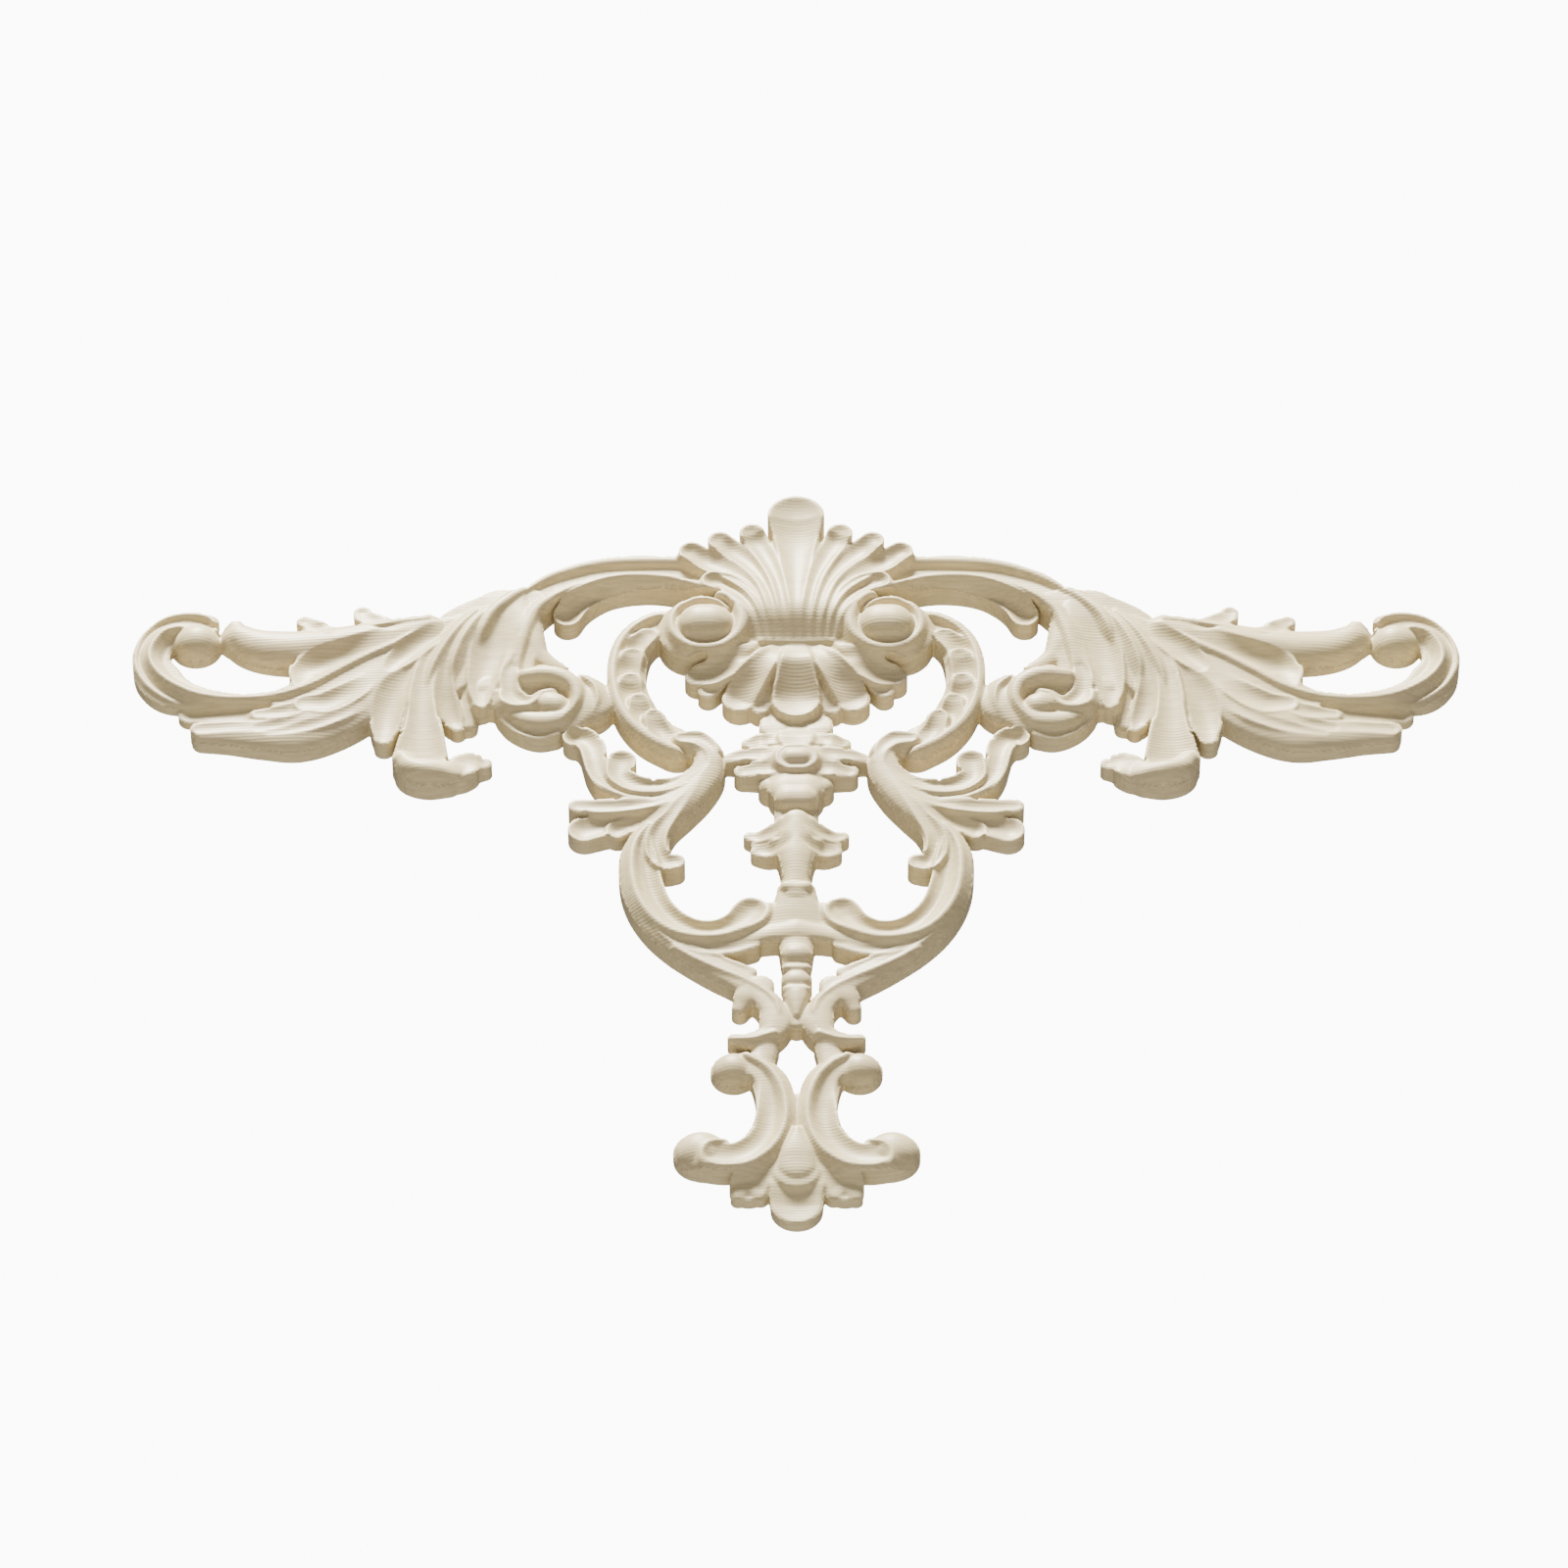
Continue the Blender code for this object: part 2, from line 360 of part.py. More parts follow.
def sscroll(carve):
    # trunk from the foot of the ring down to the small hook
    carve([(-37, -47.4), (-32.4, -53), (-33, -62), (-38, -71.6), (-44, -80), (-49.4, -88),
          (-51.6, -96), (-51, -103)], [5.4, 5.5, 6.5, 7, 7, 6.4, 5.4, 4.6], [10.6, 10.6, 10.8, 11, 11,
          10.8, 10.4, 9.6], right=[5.4, 5.5, 6, 6.5, 7, 7.5, 7, 6], crown=[3, 3, 3.4, 4, 4, 4, 3, 2])
    # fishtail
    carve([(-46, -79), (-58, -84), (-69, -87.6), (-77.6, -90.4)], [3, 4.8, 6, 6.2], [10.4, 9.6, 8.6,
          8], dish=[0.8, 1.8, 2.4, 2.2], over=True)
    carve([(-46, -80.4), (-56, -86), (-65.6, -90.2)], [2.6, 4, 4.6], [10.4, 9, 8], dish=[0.6, 1.6, 2],
          over=True)
    carve([(-37, -69), (-47, -76.2), (-58, -79.8), (-70, -80.8), (-80.6, -79.6)], [2.4, 3.2, 3.6, 3.8,
          3.2], [11.2, 11, 10.6, 10, 9], dish=[0.4, 1, 1.4, 1.4, 0.8], over=True)
    # blade out to the outer curl, ending in a scoop
    carve([(-34, -58), (-41, -68.6), (-51, -73.8), (-62, -73), (-69.4, -68.2), (-73.4, -61.6),
          (-75, -55), (-76.2, -49.4), (-78.6, -45), (-81.4, -43.6)], [2.6, 3.6, 4.2, 4.4, 4.4, 4, 4,
          4.2, 4.8, 5.2], [11.2, 11, 10.6, 10.2, 9.8, 9.8, 9.8, 9.6, 9.6, 9.4], right=[2.6, 3.6, 4.2,
          4.4, 4.4, 4.4, 5.2, 5.6, 5.2, 5.2], dish=[0.6, 1.2, 1.6, 1.6, 1.6, 1.6, 1.8, 2.2, 3, 3.6],
          over=True)
    carve([(-54, -76.4), (-63, -75.6), (-70.6, -71), (-75.2, -64.4)], [0.6, 0.9, 0.9, 0.6], [9.4, 10,
          9.8, 8.6], crown=0.6, flank=0.8, bed=False)
    # blade up to the inner curl, ending in a scoop
    carve([(-31.6, -49), (-35, -59), (-42, -66), (-51, -69.6), (-59.6, -68.8), (-65, -64.2),
          (-64.6, -57.8)], [2.4, 3.6, 4.4, 5, 5.2, 5.2, 5.6], [11.6, 11.6, 11.4, 11.2, 11, 10.8, 10.4],
          right=[2.4, 2.6, 2, 2.6, 3.8, 5, 5.6], dish=[0.6, 1.6, 2.2, 2.6, 2.8, 3, 3.4], over=True)
    # leaf lapping over the end of the ring
    carve([(-30, -62), (-31, -53), (-36, -46.8), (-42.4, -46)], [2.4, 3.2, 4, 3.4], [11.4, 11.8, 11.8,
          11.2], dish=[0.4, 1.2, 2, 1.4], over=True)
    # crest of the trunk and the hooked scoop it ends in
    carve([(-34, -64), (-40, -75), (-46.6, -86), (-51, -95), (-51.4, -103), (-48, -108.2),
          (-44.2, -108.4)], [1.6, 2.6, 3.8, 4.4, 4.8, 4.8, 3.6], [11.6, 11.8, 11.6, 11.4, 11.2, 10.8,
          10], right=[1.2, 1.6, 2.4, 3.4, 4, 4.4, 3.6], dish=[0.3, 0.8, 1.6, 2.4, 3, 2.8, 1.4],
          over=True)


def cscroll(carve):
    # outer slope of the big scroll, running on as its tail
    carve([(-56, -95), (-59.4, -105), (-59, -117), (-56, -128), (-50.4, -138.4), (-43, -147),
          (-35, -154), (-27, -160), (-20, -165.4), (-14, -171.4), (-9, -178.6), (-7.6, -185.6),
          (-10.4, -191.6), (-16.6, -194.2), (-22.4, -193.4)], [5, 5, 5, 5, 5, 5.4, 5.4, 4.8, 4.4, 4.6,
          5, 6, 5, 3.8, 2.4], [9, 9, 9, 9, 9, 9, 8.8, 8.6, 8.6, 8.8, 9, 9, 8.6, 8.2, 7.4], right=[5,
          5.2, 5.4, 5.6, 5.8, 6, 6, 6, 5.4, 5, 5, 6, 4.4, 3.4, 2.4], crown=[2, 2.4, 3, 3, 3, 3, 3, 3,
          2.4, 2, 2, 2, 2, 1.6, 1])
    carve([(-13, -169), (-18, -173), (-20.4, -178)], [5, 4.4, 3], [8.8, 8.4, 7], crown=[0.4, 0.8, 1.4])
    # inner face of the scroll, hollow, with its curled end
    carve([(-56.6, -97), (-55.6, -108), (-53.6, -119), (-50.4, -128.6), (-44.6, -136), (-37, -140.6),
          (-29, -141), (-22.4, -138), (-18.4, -134), (-16.8, -131.8)], [3.4, 5, 5, 4.8, 4.2, 3.8, 3.8,
          4.6, 5.8, 5.8], [10, 10, 10, 10, 10, 10, 10, 10, 9.8, 9.6], right=[2.4, 3.6, 4.6, 5, 5.2,
          5.4, 5.8, 6.8, 6.8, 6.2], dish=[0.8, 2, 2.6, 2.8, 2.8, 2.8, 2.8, 2.8, 2.8, 2.4])
    carve([(-10.4, -137.6), (-8.6, -131.6)], 3, [8.8, 9.4])
    # web behind the strands
    carve([(-38, -147), (-28, -147.6), (-19, -146), (-11, -140)], 3.4, 8)
    # its ridge
    carve([(-54, -90), (-58, -97), (-59.8, -104), (-60, -113), (-58.6, -122.6), (-55.6, -131),
          (-50.4, -139), (-44, -144), (-36, -146.4), (-28, -146), (-20, -142.8), (-13.6, -139),
          (-10.4, -133.6), (-11.4, -128.4)], [1.2, 1.3, 1.4, 1.5, 1.5, 1.5, 1.5, 1.5, 1.5, 1.5, 1.5,
          1.5, 1.6, 1.4], [10.6, 10.8, 11, 11, 11, 11, 11, 11, 11, 10.8, 10.6, 10.4, 10.2, 9.8],
          crown=0.9, flank=1.1, bed=False)
    # strands that split off inside the tail
    carve([(-53, -136), (-47, -143.6), (-40, -148.6), (-32, -151.2), (-24, -151), (-16, -148)], [1.6,
          2.4, 2.8, 2.8, 2.8, 3], [9.6, 9.6, 9.4, 9.2, 9, 8.8], dish=[0.3, 0.6, 0.9, 0.9, 0.8, 0.6])
    carve([(-46, -146), (-38, -152.4), (-30, -156.6), (-22, -160), (-16.4, -161.6)], [1.6, 2.6, 3, 3,
          2.2], [9.4, 9.2, 9, 8.6, 8], dish=[0.3, 0.8, 1, 0.9, 0.4])
    carve([(-44, -150.6), (-36, -156.4), (-28, -161), (-20, -165.4), (-13, -170.4), (-8, -176),
          (-6, -182)], 1.1, [9.4, 9.4, 9.2, 9.2, 9.4, 9.6, 9.4], crown=0.7, flank=1, bed=False)
    carve([(-23.6, -194.2), (-16, -194.6), (-8, -192)], [0.9, 1, 1.1], [8.2, 9, 9.4], crown=0.6,
          flank=1, bed=False)


def stem(carve):
    carve([(0, -36), (0, -50), (0, -66), (0, -80), (0, -96), (0, -106), (0, -112)], [9, 10, 10, 8, 8.6,
          6.6, 5], [8.6, 9.6, 10, 9.6, 9.6, 9.4, 9.4], crown=2)
    carve([(0, -110), (0, -140), (0, -160), (0, -176)], [5, 6.8, 5, 4], [9.4, 9.4, 9, 8], crown=2)
    # small petals over the flower
    carve([(0, -40), (0, -45)], [6, 7.4], [9.6, 10.4], dish=0.8, over=True)
    carve([(-8, -30), (-9, -38)], 4.8, [7.6, 8.4])
    carve([(-4, -45), (-11, -46), (-17.6, -47.4)], [3.4, 3.6, 2.8], [10.4, 9.6, 8.4], dish=[0.4, 1,
          0.6], over=True)
    # long side petals
    carve([(-3, -53.6), (-11, -53.4), (-19, -54), (-26.4, -54.8)], [2.6, 3.6, 3.4, 2], [11.6, 10.8,
          9.6, 8], dish=[0.4, 1, 1, 0.4], over=True)
    # lower petals
    carve([(-3, -58), (-10, -60.6), (-19.6, -61.4)], [3, 4.4, 3.4], [11.4, 10.2, 8.4], dish=[0.4, 1.4,
          0.8], over=True)
    # flower and its eye
    carve([(-1.6, -57.6), (0, -57.6)], 6.2, 12.8, dish=1.4)
    carve([(0, -57.6)], 4.2, 14, crown=3)
    # husk
    carve([(-4, -66), (-9.4, -68)], [5, 4.6], [10.8, 9], crown=2.4)
    carve([(-3, -72), (0, -72)], 7.2, 12.2, crown=3)
    carve([(-2.4, -77), (0, -77)], 5.8, 13.2, crown=3.4)
    # egg that the leaf pairs below the husk spring from
    carve([(0, -88), (0, -98), (0, -106), (0, -114), (0, -119)], [4.4, 6, 6.4, 5.2, 4.6], [12, 12, 12,
          11.2, 10.6], crown=[1.6, 2.6, 3.4, 3, 2.4])
    carve([(-2, -90), (-5.4, -97)], [5, 4], [10, 8.6])
    carve([(-7, -96.4), (-14, -96.8)], 2.6, [8, 6])
    # leaf pairs, each drooping to an upturned tip
    carve([(-1.6, -96), (-6, -99.6), (-10, -101), (-14, -100.2)], [2.4, 3.2, 3.4, 2.8], [11.8, 9.8,
          7.6, 6.4], dish=[0.4, 1, 1.2, 0.6], over=True)
    carve([(-1.4, -86), (-5, -90), (-9.6, -93), (-14, -93.6), (-17, -92.6)], [2.4, 3.2, 3.2, 3, 2.4],
          [12.6, 11.4, 9, 7, 6.2], dish=[0.4, 1, 1.2, 1, 0.6], over=True)
    # collar over a round shadowed throat
    carve([(-1, -125), (0, -125)], 4.6, 11.6, crown=3)
    carve([(-3.4, -122.4), (0, -123)], 2.2, 12.2, crown=1)
    # bell and the bar under it
    carve([(0, -124), (0, -132), (0, -138)], [7.2, 9, 10.8], [11, 10.6, 9.8], crown=2.4)
    carve([(-17, -145.4), (-9, -143.4), (0, -141.6)], [3, 3.8, 5], [8.8, 9.6, 10.4], crown=[1, 1.4, 2])
    # turned spindle
    carve([(-1, -153.6), (0, -153.6)], 4.8, 10.8, crown=3.4)
    carve([(-3.6, -161), (0, -161)], 1.7, 10, crown=1)
    carve([(-0.8, -166), (0, -166)], 4.8, 10.2, crown=3.4)
    carve([(-3.4, -171.2), (0, -171.2)], 1.7, 9.8, crown=1)
    carve([(0, -173.6), (0, -178), (0, -183)], [5, 3.4, 1.2], [10, 9.6, 9], crown=[2.6, 2, 0.6])


def foot(carve):
    # upper scrolls with their balls, back to back
    carve([(-20, -206), (-12, -209.6), (-8, -216.6), (-7.2, -226), (-8.8, -236), (-14.6, -245.4),
          (-23.6, -250), (-32, -248)], [5, 6, 6.3, 6.4, 6.4, 6.4, 7.2, 8.6], 7.6, right=[5, 5, 6, 6.6,
          6.4, 6.5, 7, 8.6], crown=1.6)
    carve([(-15, -206.4), (-11.4, -212.4), (-9.6, -220), (-9.2, -228.6), (-10.6, -237.4),
          (-14.6, -244.6), (-21, -249), (-29, -249.6)], [4, 5, 5.2, 5.2, 5.4, 5.6, 5.4, 5], 9,
          dish=[0.6, 1.6, 2.2, 2.4, 2.4, 2.4, 2, 1], over=True)
    carve([(-18, -202.4), (-12.4, -206.4), (-8, -212), (-5.2, -219), (-3.8, -227), (-4.2, -235),
          (-6.8, -243.4), (-12, -250.6), (-19, -255), (-27, -255.6), (-33, -253)], 1.4, [8.8, 9.2, 9.6,
          9.8, 9.8, 9.8, 9.8, 9.8, 9.8, 9.8, 9.6], crown=0.8, flank=1.1, bed=False)
    carve([(-22.5, -206.5)], 8.3, 9, crown=7.8)
    carve([(-33.8, -246)], 10, 9.6, crown=7.4)
    carve([(-26, -243.6), (-31, -245), (-33.6, -249), (-33, -254), (-30.4, -257)], [0.8, 1.1, 1.3, 1.2,
          0.8], [9.2, 10, 10.2, 9.8, 8.6], crown=0.8, flank=1, bed=False)
    # neck to the crossing and web between the scrolls
    carve([(-11, -196), (-12.6, -204)], 4.8, 7.6, crown=2)
    carve([(0, -221), (0, -240)], [2, 3], 6.6, crown=0.6)
    carve([(-4, -239), (-7, -250)], 4, 6.6, crown=0.6)
    carve([(0, -176), (0, -186.4)], [4.4, 2.4], 7.8, crown=0.6)
    # side lobes, tip and tongue
    carve([(-12, -254), (-15.6, -260), (-17, -261.6)], [6, 6.6, 6.8], [6.8, 5.8, 5], dish=[0.4, 1, 1.4])
    carve([(-19, -262.6), (-20.8, -265.6)], 2.6, 5, crown=0.4)
    carve([(-15, -262.6), (-12.8, -265.2)], 2.8, 5, crown=0.4)
    carve([(0, -262), (0, -269.8)], [10, 9.3], [6.4, 4.9], dish=[0.6, 0.9])
    carve([(0, -250), (0, -256)], [7, 8.4], 7.6, crown=0.8)
    carve([(0, -238), (0, -247), (0, -253.6)], [2, 5.2, 6.6], [9, 9.6, 9], crown=1.6)


def front_face(relief):
    """Corners and polygons of the carved face, cut off along the outline."""
    inside, height = relief.inside, relief.height
    x, z = np.meshgrid(relief.x, relief.z)
    covered = inside > 0
    corner = np.full(covered.shape, -1)
    corner[covered] = np.arange(covered.sum())
    points = [np.column_stack([x[covered], z[covered], height[covered]])]
    total = covered.sum()
    cuts = []
    for near, far in (((slice(None), slice(0, -1)), (slice(None), slice(1, None))),
                      ((slice(0, -1), slice(None)), (slice(1, None), slice(None)))):
        cut = covered[near] != covered[far]
        index = np.full(covered.shape, -1)
        index[near][cut] = total + np.arange(cut.sum())
        total += cut.sum()
        a, b = inside[near][cut], inside[far][cut]
        t = np.clip(a / (a - b), CUT_MARGIN, 1 - CUT_MARGIN)
        points.append(np.column_stack([
            x[near][cut] + t * (x[far][cut] - x[near][cut]),
            z[near][cut] + t * (z[far][cut] - z[near][cut]),
            np.where(a > 0, height[near][cut], height[far][cut])]))
        cuts.append(index)
    across, upward = cuts
    corners = [corner[:-1, :-1], corner[:-1, 1:], corner[1:, 1:], corner[1:, :-1]]
    sides = [across[:-1, :-1], upward[:-1, 1:], across[1:, :-1], upward[:-1, :-1]]
    case = sum((c >= 0) * 2**k for k, c in enumerate(corners))
    polygons = []
    for number in range(1, 16):
        ring = []
        for k in range(4):
            here, there = number >> k & 1, number >> (k + 1) % 4 & 1
            if here:
                ring.append(corners[k][case == number])
            if here != there:
                ring.append(sides[k][case == number])
        polygons += np.column_stack(ring).tolist()
    return np.vstack(points), polygons


def closed_solid(points, polygons):
    """The carved face with its side walls and flat back."""
    count = len(points)
    front = np.column_stack([points[:, 0], -points[:, 2], points[:, 1]])
    back = front * (1, 0, 1)
    sides = set()
    for polygon in polygons:
        for a, b in zip(polygon, polygon[1:] + polygon[:1]):
            if (b, a) in sides:
                sides.remove((b, a))
            else:
                sides.add((a, b))
    faces = polygons + [[i + count for i in reversed(polygon)] for polygon in polygons]
    faces += [[b, a, a + count, b + count] for a, b in sorted(sides)]
    return np.vstack([front, back]) * MM, faces


def wood():
    """Bare pale wood."""
    material = bpy.data.materials.new("bleached_wood")
    material.use_nodes = True
    shader = material.node_tree.nodes["Principled BSDF"]
    shader.inputs["Base Color"].default_value = WOOD_COLOR
    shader.inputs["Roughness"].default_value = WOOD_ROUGHNESS
    return material


def build():
    for item in list(bpy.data.objects):
        bpy.data.objects.remove(item)
    relief = Relief()
    for region in (wing_end, leaf, arc, ring, knob, shell, sscroll, cscroll, stem, foot):
        region(relief.carve)
    relief.mirror()
    relief.finish()
    points, polygons = front_face(relief)
    corners, faces = closed_solid(points, polygons)
    mesh = bpy.data.meshes.new("carved_applique")
    mesh.from_pydata(corners.tolist(), [], faces)
    mesh.polygons.foreach_set("use_smooth", np.arange(len(faces)) < len(polygons))
    mesh.materials.append(wood())
    piece = bpy.data.objects.new("carved_applique", mesh)
    bpy.context.scene.collection.objects.link(piece)
    facets = piece.modifiers.new("Facets", "DECIMATE")
    facets.ratio = TRIANGLES / sum(len(face) - 2 for face in faces)


build()
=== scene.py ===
# Looks of a carved wood applique: a shell crest over two leaf wings, an open ring and
# scroll work on each side of a central stem, and a small lobed foot, all one piece of
# bare pale wood.
#
# Frame: the flat back lies in the plane y = 0 and the carving faces -Y, with +Z up and
# the mirror plane at x = 0. The origin is on the back, behind the waist of the shell.
# The relief is drawn as strokes of a gouge: each has a middle run, a width and a height.

import bpy
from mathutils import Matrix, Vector
import numpy as np


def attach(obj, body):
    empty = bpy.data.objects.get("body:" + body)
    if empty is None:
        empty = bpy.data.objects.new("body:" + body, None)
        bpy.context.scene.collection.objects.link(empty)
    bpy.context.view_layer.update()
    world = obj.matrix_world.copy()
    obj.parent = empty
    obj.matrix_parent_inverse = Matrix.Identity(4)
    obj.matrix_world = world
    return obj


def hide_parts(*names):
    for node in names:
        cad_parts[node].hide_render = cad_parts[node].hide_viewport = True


MM = 0.001

# The relief is drawn in millimetres, x across and z up, for the left half only
HALF_WIDTH = 252
LOWEST, HIGHEST = -283, 83
GRID = 0.45             # spacing of the height grid
SPLINE_STEP = 0.8       # length of the straight bits that a curved stroke is made of
FLANK = 2.2             # rise per run of the steep flank beside a stroke
LEAST = 0.05            # no width or height of a stroke falls below this
TINY = 1e-6             # least length of a straight bit
UNTOUCHED = -5.0        # depth inside the outline where no stroke has been
FILLET = 0.4            # rounding of the notches in the outline
EMERGE = 0.4            # share of an overlying stroke over which it comes out of what is below
LAP = 1.2               # width over which an overlying stroke rounds down to what is below
SOFTEN = 0.45           # rounding of the carved surface
BLUR_REACH = 3          # how many radii of a rounding are averaged
RIM = 1.6               # width over which the face rounds down to its edge
RIM_DROP = 1.0          # how far it comes down there
THINNEST = 2.0          # the carving never gets lower than this
CUT_MARGIN = 0.1        # least share of a grid step between a corner and the outline
TRIANGLES = 180000      # facets of the whole piece

# Wood: grain and fibres run across the piece, and the tool lines lie level on it
WOOD_DARK = (0.52, 0.43, 0.28, 1)
WOOD_PALE = (0.61, 0.52, 0.31, 1)
GRAIN_SCALE = (7, 60, 60)
GRAIN_DETAIL, GRAIN_ROUGHNESS = 6, 0.6
GRAIN_DARK, GRAIN_PALE = 0.3, 0.7       # strength of the grain at the two colours
FIBRE_SCALE = (60, 700, 700)
FIBRE_DETAIL, FIBRE_ROUGHNESS = 3, 0.5
FIBRE_FROM, FIBRE_TO = 0.32, 0.68       # strength of a fibre at its darkest and palest
FIBRE_DARK, FIBRE_PALE = 0.86, 1.06     # share of the wood's colour there
FIBRE_DEPTH = 0.00006
TOOL_LINES = 230
TOOL_WAVER, TOOL_DETAIL, TOOL_DETAIL_SCALE = 1.2, 2, 0.4
TOOL_SHADE, TOOL_BASE = -0.05, 1.02     # what a line takes off the colour, and its share beside one
TOOL_DEPTH = 0.00004
PATCH_SCALE, PATCH_DETAIL = 14, 2       # patches in which the tool lines show
PATCH_FROM, PATCH_TO = 0.3, 0.6
# painted highlight along the sharp edges of the carved face
EDGE_HIGHLIGHT_COLOR = (0.80, 0.70, 0.44, 1)
EDGE_FROM, EDGE_TO = 0.52, 0.6          # bend of the surface over which the painted highlight on an edge comes in
# painted shade in the cuts between the strokes
CUT_SHADE_COLOR = (0.42, 0.31, 0.18, 1)
CUT_FROM, CUT_TO = 0.46, 0.34           # bend over which the painted shade in a cut comes in
CUT_SHARE = 0.6                         # how dark the painted shade gets
SIDE_TILT, FACE_TILT = -0.15, -0.45     # Y of the normal, from the sides to the carved face
SMOOTH, ROUGH = 0.38, 0.52              # roughness of the wood
SHINE = 0.3

# Camera: looks up at the piece from 44 degrees below level
SENSOR = 36
FARTHEST = 100
LENS = 186.3
CAMERA_TARGET = (-0.00453, 0, -0.06044)
CAMERA_PLACE = (-0.00453, -2.1580, -2.1444)

# Room and light
CENTRE = (0, 0, -0.1)
FLOOR_SIZE = 30
FLOOR_LEVEL = -3
FLOOR_COLOR = (0.8, 0.78, 0.75, 1)
FLOOR_ROUGHNESS = 0.8
WORLD_COLOR = (1, 0.985, 0.96, 1)
WORLD_STRENGTH = 0.24
BACKGROUND = (1, 1, 0.99, 1)
BACKGROUND_STRENGTH = 11
KEY_PLACE = (-0.35, -1.15, 2.3)
KEY_SIZE = 0.7
KEY_POWER = 520
KEY_COLOR = (1, 0.96, 0.82)
FILL_PLACE = (0.3, -2.6, 0.2)
FILL_SIZE = 1.6
FILL_POWER = 8
FILL_COLOR = (1, 0.96, 0.9)


def spline(points, *values):
    """Smooth run through the points, with the widths and heights carried along it."""
    count = len(points)
    columns = [np.asarray(points, float)]
    for value in values:
        value = np.atleast_1d(np.asarray(value, float))
        spread = np.interp(np.linspace(0, 1, count), np.linspace(0, 1, len(value)), value)
        columns.append(spread[:, None])
    knots = np.hstack(columns)
    if count == 1:
        return np.vstack([knots, knots])
    knots = np.vstack([2 * knots[0] - knots[1], knots, 2 * knots[-1] - knots[-2]])
    run = []
    for a, b, c, d in zip(knots, knots[1:], knots[2:], knots[3:]):
        steps = max(2, int(np.hypot(*(c - b)[:2]) / SPLINE_STEP))
        t = np.linspace(0, 1, steps, endpoint=False)[:, None]
        run.append(0.5 * (2 * b + (c - a) * t + (2 * a - 5 * b + 4 * c - d) * t**2
                          + (3 * b - a - 3 * c + d) * t**3))
    run = np.vstack(run + [knots[-2:-1]])
    run[:, 2:] = np.maximum(run[:, 2:], LEAST)
    return run


class Relief:
    """Height of the carving over a grid, and how far each point lies inside its outline."""

    def __init__(self):
        self.x = np.arange(-HALF_WIDTH, GRID / 2, GRID)
        self.z = np.arange(LOWEST, HIGHEST, GRID)
        self.height = np.zeros((len(self.z), len(self.x)))
        self.inside = np.full_like(self.height, UNTOUCHED)

    def window(self, run, reach):
        """Rows and columns of the grid within reach of a run."""
        low = run[:, :2].min(0) - reach - (self.x[0], self.z[0])
        high = run[:, :2].max(0) + reach - (self.x[0], self.z[0])
        i, j = np.maximum(low / GRID, 0).astype(int)
        i_end, j_end = np.maximum(high / GRID + 2, 0).astype(int)
        return slice(j, j_end), slice(i, i_end)

    def locate(self, run, part):
        """Distance to the run, signed offset from it, and the values at its nearest point."""
        x, z = np.meshgrid(self.x[part[1]], self.z[part[0]])
        nearest = np.full(x.shape, np.inf)
        offset = np.zeros(x.shape)
        values = np.zeros((run.shape[1] - 2,) + x.shape)
        for a, b in zip(run, run[1:]):
            dx, dz = b[:2] - a[:2]
            length = max(np.hypot(dx, dz), TINY)
            t = np.clip(((x - a[0]) * dx + (z - a[1]) * dz) / length**2, 0, 1)
            distance = np.hypot(x - a[0] - t * dx, z - a[1] - t * dz)
            closer = distance < nearest
            nearest[closer] = distance[closer]
            offset[closer] = ((dx * (z - a[1]) - dz * (x - a[0])) / length)[closer]
            for value, start, end in zip(values, a[2:], b[2:]):
                value[closer] = (start + t * (end - start))[closer]
        return nearest, offset, values

    def carve(self, points, width, height, right=None, crown=0, dish=0, flank=FLANK, over=False,
              bed=True):
        """One stroke of the carving along a run of points.

        width is the half width to the left of the run and right the one to its right. crown rounds
        the stroke down towards its sides, and dish hollows it. A stroke joins what is there at the
        greater height, or with over comes out of it and lies over it. With bed it also widens the
        piece. Along a run its middle line stays a faint ridge.
        """
        right = width if right is None else right
        emerge = np.clip(np.linspace(0, 1 / EMERGE, len(points)), 0, 1) if over else 1
        run = spline(points, width, right, height, crown, dish, emerge)
        ridge = LEAST if len(points) > 1 else 0
        part = self.window(run, run[:, 2:4].max() + run[:, 4].max() / flank)
        nearest, offset, (left, right, top, crown, dish, emerge) = self.locate(run, part)
        reach = np.where(offset >= 0, left, right)
        u = np.minimum(nearest / reach, 1)
        top = top - crown * (1 - np.sqrt(1 - u**2)) - dish * (1 - u**2) + ridge * (1 - u)
        within = reach - nearest
        if over:
            below = self.height[part]
            lap = np.clip(within / LAP, 0, 1)
            lap = np.where(self.inside[part] > 0, np.sqrt(lap * (2 - lap)), within > 0)
            self.height[part] = below + emerge * lap * (top - below)
        else:
            top = top + np.minimum(within, 0) * flank
            self.height[part] = np.maximum(self.height[part], top)
        if bed:
            self.inside[part] = np.maximum(self.inside[part], within)

    def mirror(self):
        """Add the right half."""
        self.x = np.concatenate([self.x, -self.x[-2::-1]])
        self.height = np.hstack([self.height, self.height[:, -2::-1]])
        self.inside = np.hstack([self.inside, self.inside[:, -2::-1]])

    def finish(self):
        """Round the outline's notches and the carved surface."""
        self.inside = blur(self.inside, FILLET)
        covered = self.inside > 0
        weight = blur(covered.astype(float), SOFTEN)
        soft = blur(self.height * covered, SOFTEN) / np.maximum(weight, LEAST)
        rim = 1 - np.clip(self.inside / RIM, 0, 1)
        self.height = np.maximum(soft - RIM_DROP * (1 - np.sqrt(1 - rim**2)), THINNEST)


def blur(field, radius):
    """Gaussian average of a grid over a radius in millimetres."""
    reach = int(np.ceil(BLUR_REACH * radius / GRID))
    kernel = np.exp(-0.5 * (np.arange(-reach, reach + 1) * GRID / radius)**2)
    kernel /= kernel.sum()
    for _ in range(2):
        padded = np.pad(field, ((reach, reach), (0, 0)), mode="edge")
        field = sum(k * padded[i:i + len(field)] for i, k in enumerate(kernel)).T
    return field


